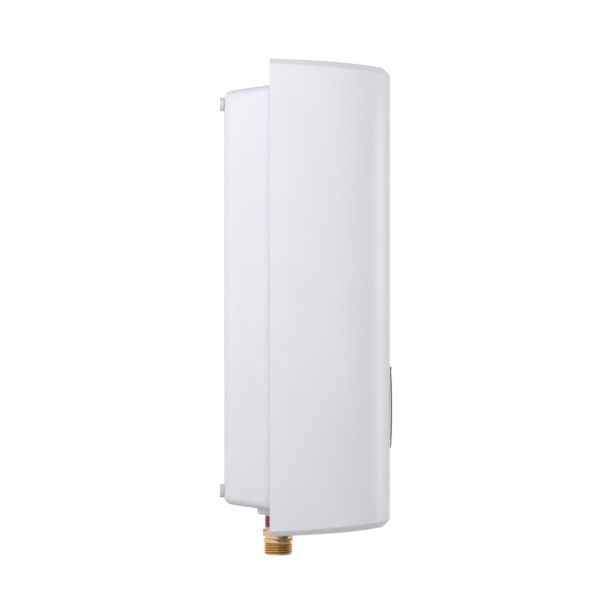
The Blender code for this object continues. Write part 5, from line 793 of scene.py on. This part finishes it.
mark_places = [(MARK_PLACE_RADIUS * math.sin(turn), 0, CONTROL[2] + MARK_PLACE_RADIUS * math.cos(turn))
               for turn in (-DIAL_TURN, DIAL_TURN)]
marks = [lathe(f"end_mark_{n}", centre, mark_profile, columns=24) for n, centre in enumerate(mark_places)]
combine(bezel, marks, "UNION")
place_piece(bezel, "cover", "pale_plastic", ["control_bezel"])

# %% Window over the display, its face a little crowned
WINDOW_CROWN = 0.00025
WINDOW_RIM_SHARE = 0.97
CROWN_ROWS = 12
window_radius, window_back, window_front = window_high.x, -window_high.y, -window_low.y
spread = np.linspace(0, 1, CROWN_ROWS)
crown = np.stack([window_radius * (1 - spread), window_front - WINDOW_CROWN * (1 - spread) ** 2], axis=-1)
window_side = soften([(0, window_back), (window_radius, window_back),
                      (window_radius, window_front - WINDOW_CROWN),
                      (window_radius * WINDOW_RIM_SHARE, window_front - WINDOW_CROWN)], EDGE, closed=False)
window = lathe("window", CONTROL, np.concatenate([window_side, crown[1:]]), columns=160)
place_piece(window, "cover", "dark_gloss", ["display_window"])

# %% Selector ring: its sizes and the line of its teeth
RING_TEETH, GEAR_MODULE = 52, 0.001
GEAR_ADDENDUM, GEAR_DEDENDUM = 0.0008, 0.0011
GEAR_HEIGHT = 0.0052
GEAR_STEEPNESS = 1.6
COLUMNS_PER_TOOTH = 16
RING_COLUMNS = RING_TEETH * COLUMNS_PER_TOOTH
RING_SHARP_DEG = 30
RING_SKIRT_RADIUS, RING_INNER_RADIUS, RING_LIP_RADIUS = 0.0293, 0.0207, 0.0169
RING_BACK_RADIUS = 0.0272
RING_LIP_THICKNESS = 0.0025
RIM_EDGE = 0.0001
POINTER_HALF_WIDTH, POINTER_INNER_RADIUS, POINTER_PROUD = 0.0009, 0.0280, 0.0007
POINTER_ROOT = 0.0006
ring_low, ring_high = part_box("selector_ring")
RING_RADIUS, RING_BACK = ring_high.x, -ring_high.y
RING_FRONT = -ring_low.y - POINTER_PROUD
RING_LIP_FRONT, RING_LIP_BACK = HUB_FRONT, HUB_FRONT - RING_LIP_THICKNESS


def tooth_radius(angle):
    """Radius of the toothed inner wall: the pitch radius, moved out by half the difference between root
    and tip, less a cosine with one period a tooth that is stretched and then cut off at -1 and 1."""
    wave = np.clip(GEAR_STEEPNESS * np.cos(RING_TEETH * angle), -1, 1)
    pitch = GEAR_MODULE * RING_TEETH / 2
    reach = (GEAR_DEDENDUM + GEAR_ADDENDUM) / 2
    return pitch + (GEAR_DEDENDUM - GEAR_ADDENDUM) / 2 - reach * wave


print(f"{RING_TEETH} teeth on a pitch radius of {500 * GEAR_MODULE * RING_TEETH:.1f} mm")


# %% Build the selector ring with its inner teeth and pointer
outer_profile = soften([(RING_LIP_RADIUS, RING_LIP_BACK), (RING_LIP_RADIUS, RING_LIP_FRONT),
                        (RING_INNER_RADIUS, RING_LIP_FRONT), (RING_INNER_RADIUS, RING_FRONT),
                        (RING_RADIUS, RING_FRONT), (RING_RADIUS, BEZEL_FRONT + EDGE),
                        (RING_SKIRT_RADIUS, BEZEL_FRONT + EDGE), (RING_SKIRT_RADIUS, RING_BACK),
                        (RING_BACK_RADIUS, RING_BACK)], RIM_EDGE, closed=False)
ring_points = lathe_points(CONTROL, outer_profile, RING_COLUMNS)
angle = 2 * np.pi * np.arange(RING_COLUMNS) / RING_COLUMNS
toothed = tooth_radius(angle - np.pi / 2)
toothless = np.full(RING_COLUMNS, GEAR_MODULE * RING_TEETH / 2 - GEAR_ADDENDUM)
inner_rows = [(toothed, RING_BACK), (toothed, RING_BACK + GEAR_HEIGHT),
              (toothless, RING_BACK + GEAR_HEIGHT), (toothless, RING_LIP_BACK)]
inner_points = np.stack([np.stack([r * np.cos(angle), np.full(RING_COLUMNS, -d), r * np.sin(angle)], axis=-1)
                         for r, d in inner_rows]) + np.array(CONTROL)
points = np.concatenate([ring_points, inner_points])
corners = grid_corners(len(points), RING_COLUMNS, wrap_rows=True, wrap_columns=True)
ring = surface("dial_ring", points, corners, RING_SHARP_DEG)
pointer = block("pointer", (-POINTER_HALF_WIDTH, ring_low.y, CONTROL[2] + POINTER_INNER_RADIUS),
                (POINTER_HALF_WIDTH, -RING_FRONT + POINTER_ROOT, CONTROL[2] + RING_RADIUS - 2 * EDGE))
combine(ring, [pointer], "UNION", RING_SHARP_DEG)
place_piece(ring, "dial", "dark_gloss", ["selector_ring"], FINISH["satin_black"])

# %% [markdown]
# ## The water fittings
#
# Each fitting is one turned piece of brass: a spigot in the boss, a neck, a hexagon for a spanner, a
# groove, a collar and a half-inch pipe thread, with a bore right through. It is a single grid round
# the axis whose radius changes with height. On the hexagon's rows the radius also depends on the
# angle, and on the thread's rows it follows a helix, which climbs one pitch in each turn.

# %% Sizes of a fitting, from its top down
FITTING_COLUMNS = 192
FITTING_SHARP_DEG = 32
SPIGOT_RADIUS, BORE_RADIUS = 0.008, 0.0065
NECK_RADIUS, NECK_TOP, NECK_BOTTOM = 0.0093, -0.1684, -0.1697
HEX_FLAT_RADIUS, HEX_BOTTOM = 0.011, -0.1744
HEX_TRIM, HEX_TRIM_SLOPE = 0.0002, 1.75
HEX_ROW_SPANS = ((0, 0.0009, 7), (0.0012, 0.0035, 5), (0.0038, 0.0047, 7))
GROOVE_BOTTOM = -0.1761
COLLAR_RADIUS, COLLAR_BOTTOM = 0.0108, -0.1791
COLLAR_SHOULDER, COLLAR_EDGE = 0.0102, -0.1777
COLLAR_REACHES = (0.0002, 0.0002, 0.0003, 0.0004, 0.0003, 0.0002)
COLLAR_STEPS = 5
THREAD_RADIUS, THREAD_DEPTH, THREAD_PITCH = 0.0104775, 0.001162, 0.001814
THREAD_ROOT_SHARE, THREAD_FLANKS_SHARE = 0.1, 0.66
THREAD_END_STEP, THREAD_END_SLOPE = 0.0001, 1.4
THREAD_ROWS = 110
BORE_CHAMFER, BORE_EDGE = 0.0006, 0.0002
THREAD_ROOT_RADIUS = THREAD_RADIUS - THREAD_DEPTH
fitting_top, fitting_end = fitting_high.z, fitting_low.z
print(f"thread {2000 * THREAD_RADIUS:.3f} mm across, pitch {1000 * THREAD_PITCH:.3f} mm")


# %% One fitting as a radius over angle and height
def hexagon_radius(angle, face_distance):
    """Distance from the axis to a hexagon's side, but no more than a cone that trims its six corners."""
    within = np.mod(angle, np.pi / 3) - np.pi / 6
    cone = HEX_FLAT_RADIUS + HEX_TRIM + HEX_TRIM_SLOPE * face_distance
    return np.minimum(HEX_FLAT_RADIUS / np.cos(within), cone)


def thread_radius(angle, z):
    """A tooth whose phase is height over pitch less the turn, with straight flanks between a narrow
    crest and root. It rises over the first pitch, and a cone trims it at the open end."""
    phase = np.mod(z / THREAD_PITCH - angle / (2 * np.pi), 1)
    tooth = np.clip((1 - np.abs(2 * phase - 1) - THREAD_ROOT_SHARE) / THREAD_FLANKS_SHARE, 0, 1)
    run_out = np.clip((COLLAR_BOTTOM - z) / THREAD_PITCH, 0, 1)
    trimmed = THREAD_ROOT_RADIUS + THREAD_END_STEP + np.maximum(z - fitting_end, 0) * THREAD_END_SLOPE
    return np.minimum(THREAD_ROOT_RADIUS + THREAD_DEPTH * tooth * run_out, trimmed)


def fitting_points(x):
    """The whole fitting as a closed grid: down the outside and back up the bore."""
    angle = (2 * np.pi * np.arange(FITTING_COLUMNS) / FITTING_COLUMNS)[None, :]
    upper = soften([(BORE_RADIUS, fitting_top), (SPIGOT_RADIUS, fitting_top), (SPIGOT_RADIUS, NECK_TOP),
                    (NECK_RADIUS, NECK_TOP), (NECK_RADIUS, NECK_BOTTOM)], EDGE, closed=False)
    hex_z = np.concatenate([np.linspace(*span) for span in HEX_ROW_SPANS])
    hex_distance = np.minimum(hex_z, NECK_BOTTOM - HEX_BOTTOM - hex_z)[:, None]
    hex_rows = hexagon_radius(angle, hex_distance)
    lower = soften([(NECK_RADIUS, HEX_BOTTOM), (NECK_RADIUS, GROOVE_BOTTOM), (COLLAR_SHOULDER, GROOVE_BOTTOM),
                    (COLLAR_RADIUS, COLLAR_EDGE), (COLLAR_RADIUS, COLLAR_BOTTOM),
                    (THREAD_ROOT_RADIUS, COLLAR_BOTTOM)], COLLAR_REACHES, COLLAR_STEPS, closed=False)
    thread_z = np.linspace(COLLAR_BOTTOM, fitting_end, THREAD_ROWS)[:, None]
    bore = soften([(THREAD_ROOT_RADIUS, fitting_end), (BORE_RADIUS + BORE_CHAMFER, fitting_end),
                   (BORE_RADIUS, fitting_end + BORE_CHAMFER), (BORE_RADIUS, fitting_top)],
                  BORE_EDGE, closed=False)
    whole = np.ones_like(angle)
    radius = np.concatenate([upper[:, :1] * whole, hex_rows, lower[:, :1] * whole,
                             thread_radius(angle, thread_z), bore[:, :1] * whole])
    heights = [upper[:, 1:], NECK_BOTTOM - hex_z[:, None], lower[:, 1:], thread_z, bore[:, 1:]]
    z = np.concatenate(heights) * whole
    return np.stack([x + radius * np.cos(angle), FITTING_Y + radius * np.sin(angle), z], axis=-1)


# %% Both fittings
for side_name, x in (("outlet", -FITTING_X), ("inlet", FITTING_X)):
    points = fitting_points(x)
    corners = grid_corners(len(points), FITTING_COLUMNS, wrap_rows=True, wrap_columns=True)
    fitting = surface(f"{side_name}_fitting", points, corners, FITTING_SHARP_DEG)
    brass = turned_brass(f"{side_name} brass", (x, FITTING_Y), THREAD_ROOT_RADIUS, THREAD_RADIUS,
                         COLLAR_BOTTOM)
    place_piece(fitting, "housing", "brass", [f"{side_name}_nipple"], brass)

# %% [markdown]
# Above each fitting sits a coloured ring, red for hot and blue for cold, and a thin pale washer. The
# housing stands off the wall on four small spacers. All are turned shapes again, taken from the box
# of the solid that each one stands for.

# %% Marker rings and washers
MARKER_BORE, MARKER_EDGE = 0.0084, 0.0004
WASHER_BORE, WASHER_EDGE = 0.0083, 0.00015


def ring_from_box(name, node, inner_radius, edge):
    """A flat upright ring that fills a node's box, with the given inner radius and softened edges."""
    low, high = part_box(node)
    centre = ((low.x + high.x) / 2, (low.y + high.y) / 2, 0)
    radius = (high.x - low.x) / 2
    profile = [(inner_radius, low.z), (radius, low.z), (radius, high.z), (inner_radius, high.z)]
    return lathe(name, centre, soften(profile, edge), columns=96, facing="up", ring=True)


for side_name, slot in (("outlet", "red_plastic"), ("inlet", "blue_plastic")):
    ring_node, washer_node = f"{side_name}_marker_ring", f"{side_name}_washer"
    marker = ring_from_box(f"{side_name}_colour_ring", ring_node, MARKER_BORE, MARKER_EDGE)
    place_piece(marker, "housing", slot, [ring_node])
    seal = ring_from_box(f"{side_name}_seal", washer_node, WASHER_BORE, WASHER_EDGE)
    place_piece(seal, "housing", "nylon", [washer_node])

# %% Wall spacers, each a wide head at the wall and a thin stem
SPACER_STEM_RADIUS = 0.002
SPACER_HEAD_BACK = 0.003
SPACER_EDGE = 0.0006
SPACER_STEPS = 5
for number in range(1, 5):
    node = f"wall_spacer_{number}"
    low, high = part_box(node)
    radius = (high.x - low.x) / 2
    profile = soften([(0, 0), (radius, 0), (radius, SPACER_HEAD_BACK), (SPACER_STEM_RADIUS, SPACER_HEAD_BACK),
                      (SPACER_STEM_RADIUS, -low.y), (0, -low.y)], SPACER_EDGE, SPACER_STEPS, closed=False)
    spacer = lathe(f"spacer_{number}", ((low.x + high.x) / 2, 0, (low.z + high.z) / 2), profile, columns=64)
    place_piece(spacer, "housing", SLOT_OF[node], [node], FINISH["pale_rubber"])

# %% [markdown]
# ## The other pieces
#
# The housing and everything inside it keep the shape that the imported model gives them. A plain model
# has knife edges, though, and no real moulding has. A copy of each one is welded, its flat faces are
# joined again, its edges get a small bevel, and its normals follow its large faces, so that flats
# stay flat and edges catch a line of light. Wires and coils are long round shapes, so they are
# rounded by a subdivision instead.

# %% Softened copies of the remaining nodes
NEW_NODES = {"front_cover", "control_bezel", "display_window", "selector_ring",
             "outlet_nipple", "inlet_nipple", "outlet_marker_ring", "inlet_marker_ring",
             "outlet_washer", "inlet_washer",
             "wall_spacer_1", "wall_spacer_2", "wall_spacer_3", "wall_spacer_4"}
EDGE_WIDTH = {"rear_housing": 0.0005, "heater_block": 0.0004, "upper_header": 0.0004,
              "lower_header": 0.0004, "terminal_block": 0.0003, "cord_clamp": 0.0003,
              "stop_valve_body": 0.0004}
SMALL_EDGE_WIDTH = 0.0002
WIRES = ("lead_live", "lead_neutral", "lead_earth", "heating_coil_1", "heating_coil_2", "heating_coil_3")
COPLANAR_DEG, COPY_SHARP_DEG, BEVELLED_DEG = 0.4, 34, 40


def softened_copy(node):
    """A welded copy of a node, its coplanar triangles joined. It gets a bevel and face-weighted normals,
    or for a wire one level of subdivision."""
    mesh = NODES[node].data.copy()
    piece = bpy.data.objects.new(f"{node}_finish", mesh)
    bpy.context.scene.collection.objects.link(piece)
    work = bmesh.new()
    work.from_mesh(mesh)
    bmesh.ops.remove_doubles(work, verts=work.verts, dist=WELD_DISTANCE)
    flat_angle = math.radians(COPLANAR_DEG)
    bmesh.ops.dissolve_limit(work, angle_limit=flat_angle, verts=work.verts, edges=work.edges)
    work.to_mesh(mesh)
    work.free()
    mesh.shade_smooth()
    if node in WIRES:
        rounder = piece.modifiers.new("round", "SUBSURF")
        rounder.levels = rounder.render_levels = 1
        return piece
    mesh.set_sharp_from_angle(angle=math.radians(COPY_SHARP_DEG))
    bevel = piece.modifiers.new("edges", "BEVEL")
    bevel.width = EDGE_WIDTH.get(node, SMALL_EDGE_WIDTH)
    bevel.segments = 2
    bevel.limit_method = "ANGLE"
    bevel.angle_limit = math.radians(BEVELLED_DEG)
    piece.modifiers.new("even", "WEIGHTED_NORMAL")
    return piece


for body, members in frame["record"]["behaviour"]["bodies"].items():
    for node in members:
        if node not in NEW_NODES:
            place_piece(softened_copy(node), body, SLOT_OF[node], [node])

# %% [markdown]
# ## Light, floor and background
#
# The photograph has a plain white ground. A large soft lamp beside the camera lights the heater's
# side, a little from the left and from above, so its flat sides fade slowly towards the bottom. A
# short upright strip in front of the heater leaves the thin bright line beside the cover's corner,
# and a dark card between the two is what gives the brass its dark half. The card is seen by
# reflections only. Three more soft lamps, in front, on the far side and behind, light mostly what the
# photograph doesn't show.

# %% World
SKY_BELOW, SKY_AT_HORIZON, SKY_ABOVE = 0.03, 0.64, 0.12
SKY_TINT = (0.985, 0.985, 1.0, 1)
world = bpy.data.worlds.new("studio")
bpy.context.scene.world = world
world.use_nodes = True
tree = world.node_tree
background = tree.nodes["Background"]


def white_ground(tree):
    """1 for rays that must find a white ground: from the camera, a mirror or a clear piece."""
    path = put(tree, "ShaderNodeLightPath").outputs
    mirror = maths(tree, "MAXIMUM", path["Is Glossy Ray"], path["Is Transmission Ray"])
    return maths(tree, "MAXIMUM", path["Is Camera Ray"], mirror)


height = parts_of(tree, put(tree, "ShaderNodeTexCoord").outputs["Generated"])["Z"]
rising = ramp(tree, height, low=-0.7, high=0.0, to_low=SKY_BELOW, to_high=SKY_AT_HORIZON)
fading = ramp(tree, height, low=0.1, high=0.9, to_high=SKY_AT_HORIZON - SKY_ABOVE)
sky = maths(tree, "SUBTRACT", rising, fading)
seen = white_ground(tree)
tree.links.new(blend_colours(tree, seen, SKY_TINT, WHITE), background.inputs["Color"])
tree.links.new(blend_values(tree, seen, sky, 1.0), background.inputs["Strength"])
print(f"sky: {SKY_BELOW} below, {SKY_AT_HORIZON} at the horizon, {SKY_ABOVE} above")


# %% Lamps, placed round the heater by azimuth from the camera's side towards the front
def around(azimuth_deg, distance, height):
    """A place at an azimuth measured from the camera's direction, -X, towards the front, -Y."""
    azimuth = math.radians(azimuth_deg)
    return np.array([-math.cos(azimuth) * distance, -math.sin(azimuth) * distance - CAMERA_DEPTH, height])


def lamp(name, place, size, power, aim_height=0.0, spread_deg=180, mirrored=False):
    """A soft lamp at place that faces the heater at aim_height, its beam narrowed to spread_deg. A lamp
    that isn't mirrored leaves no image of itself in glossy pieces."""
    light = bpy.data.lights.new(name, "AREA")
    light.shape = "RECTANGLE"
    light.size, light.size_y = size
    light.energy = power
    light.spread = math.radians(spread_deg)
    holder = bpy.data.objects.new(name, light)
    away = place - np.array([0, -CAMERA_DEPTH, aim_height])
    tilt, turn = math.atan2(math.hypot(away[0], away[1]), away[2]), math.atan2(away[0], -away[1])
    holder.location = place.tolist()
    holder.rotation_euler = (tilt, 0, turn)
    holder.visible_camera = False
    holder.visible_glossy = mirrored
    bpy.context.scene.collection.objects.link(holder)
    print(f"lamp {name}: {power} W")


lamp("key", around(-10, 1.2, 0.24), size=(1.1, 0.9), power=2.75, aim_height=0.26, spread_deg=84)
lamp("strip", around(111, 1.3, -0.02), size=(0.1, 0.56), power=0.9, aim_height=-0.02, mirrored=True)
lamp("front_fill", around(68, 1.4, 0.1), size=(0.9, 0.9), power=2.9)
lamp("far_fill", around(190, 1.4, 0.6), size=(1.0, 1.0), power=6.2)
lamp("back_fill", around(258, 1.4, 0.3), size=(0.9, 0.9), power=4.0)

# %% Dark card, an upright arc that only reflections see
CARD_AZIMUTHS = (2, 113)
CARD_COLUMNS = 40
CARD_DISTANCE = 1.5
CARD_HALF_HEIGHT = 2.0
CARD_DARKEST_AZIMUTH = 54
CARD_FADE = (0.1, 0.55)
CARD_DARK, CARD_PALE = 0.03, 0.24
CARD_TINT = (0.92, 1.0, 1.08, 1)
azimuths = np.radians(np.linspace(*CARD_AZIMUTHS, CARD_COLUMNS))
arc = np.stack([-np.cos(azimuths), -np.sin(azimuths)], axis=-1) * CARD_DISTANCE - np.array([0, CAMERA_DEPTH])
rows = [np.column_stack([arc, np.full(len(arc), z)]) for z in (-CARD_HALF_HEIGHT, CARD_HALF_HEIGHT)]
card = surface("dark_card", np.stack(rows), grid_corners(2, len(arc)))
material, tree, shader, place = start_finish("dark card")
darkest = around(CARD_DARKEST_AZIMUTH, CARD_DISTANCE, 0.0)
level = vector_maths(tree, "MULTIPLY", place, (1, 1, 0))[0]
away = vector_maths(tree, "DISTANCE", level, tuple(darkest))[1]
fade_start, fade_end = [share * CARD_DISTANCE for share in CARD_FADE]
card_light = ramp(tree, away, fade_start, fade_end, CARD_DARK, CARD_PALE)
card_glow = put(tree, "ShaderNodeEmission", {"Color": CARD_TINT, "Strength": card_light})
tree.links.new(card_glow.outputs[0], tree.nodes["Material Output"].inputs["Surface"])
card.data.materials.append(material)
card.visible_camera = card.visible_diffuse = card.visible_shadow = False
card.visible_transmission = card.visible_volume_scatter = False
print(f"dark card: {len(card.data.polygons)} faces")

# %% Floor, which keeps the heater's shadow near its middle, fades to white and is clear from below
FLOOR_LEVEL = -0.5
FLOOR_HALF = 1.6
FLOOR_FADE = (0.3, 0.9)
FLOOR_WHITE_AT_MIDDLE = 0.8
square = np.array([[-1, -1, 0], [1, -1, 0], [1, 1, 0], [-1, 1, 0]])
points = square * FLOOR_HALF + np.array([0, 0, FLOOR_LEVEL])
floor_piece = surface("floor", points, np.array([[0, 1, 2, 3]]))
material, tree, shader, place = start_finish("floor")
skin = grouped(tree, MOULDED_SKIN, {"Place": place, "Colour": linear(160, 160, 164),
                                    "Drift colour": linear(154, 154, 158), "Drift scale": 3.0, "Gloss": 0.6})
tree.links.new(skin["Colour"], shader.inputs["Base Color"])
floor_glow = put(tree, "ShaderNodeEmission", {"Color": WHITE, "Strength": 1.0})
from_middle = vector_maths(tree, "DISTANCE", place, (0, 0, FLOOR_LEVEL))[1]
fade_start, fade_end = [share * FLOOR_HALF for share in FLOOR_FADE]
whiteness = ramp(tree, from_middle, fade_start, fade_end, FLOOR_WHITE_AT_MIDDLE)
share = product(tree, white_ground(tree), whiteness)
mixed = put(tree, "ShaderNodeMixShader", {0: share, 1: shader.outputs[0], 2: floor_glow.outputs[0]})
from_below = put(tree, "ShaderNodeNewGeometry").outputs["Backfacing"]
beneath = product(tree, from_below, put(tree, "ShaderNodeLightPath").outputs["Is Camera Ray"])
clear = put(tree, "ShaderNodeBsdfTransparent").outputs[0]
both = put(tree, "ShaderNodeMixShader", {0: beneath, 1: mixed.outputs[0], 2: clear})
tree.links.new(both.outputs[0], tree.nodes["Material Output"].inputs["Surface"])
floor_piece.data.materials.append(material)
print(f"floor: {2 * FLOOR_HALF} m wide, at {FLOOR_LEVEL} m")

# %% View settings
bpy.context.scene.view_settings.view_transform = "Standard"
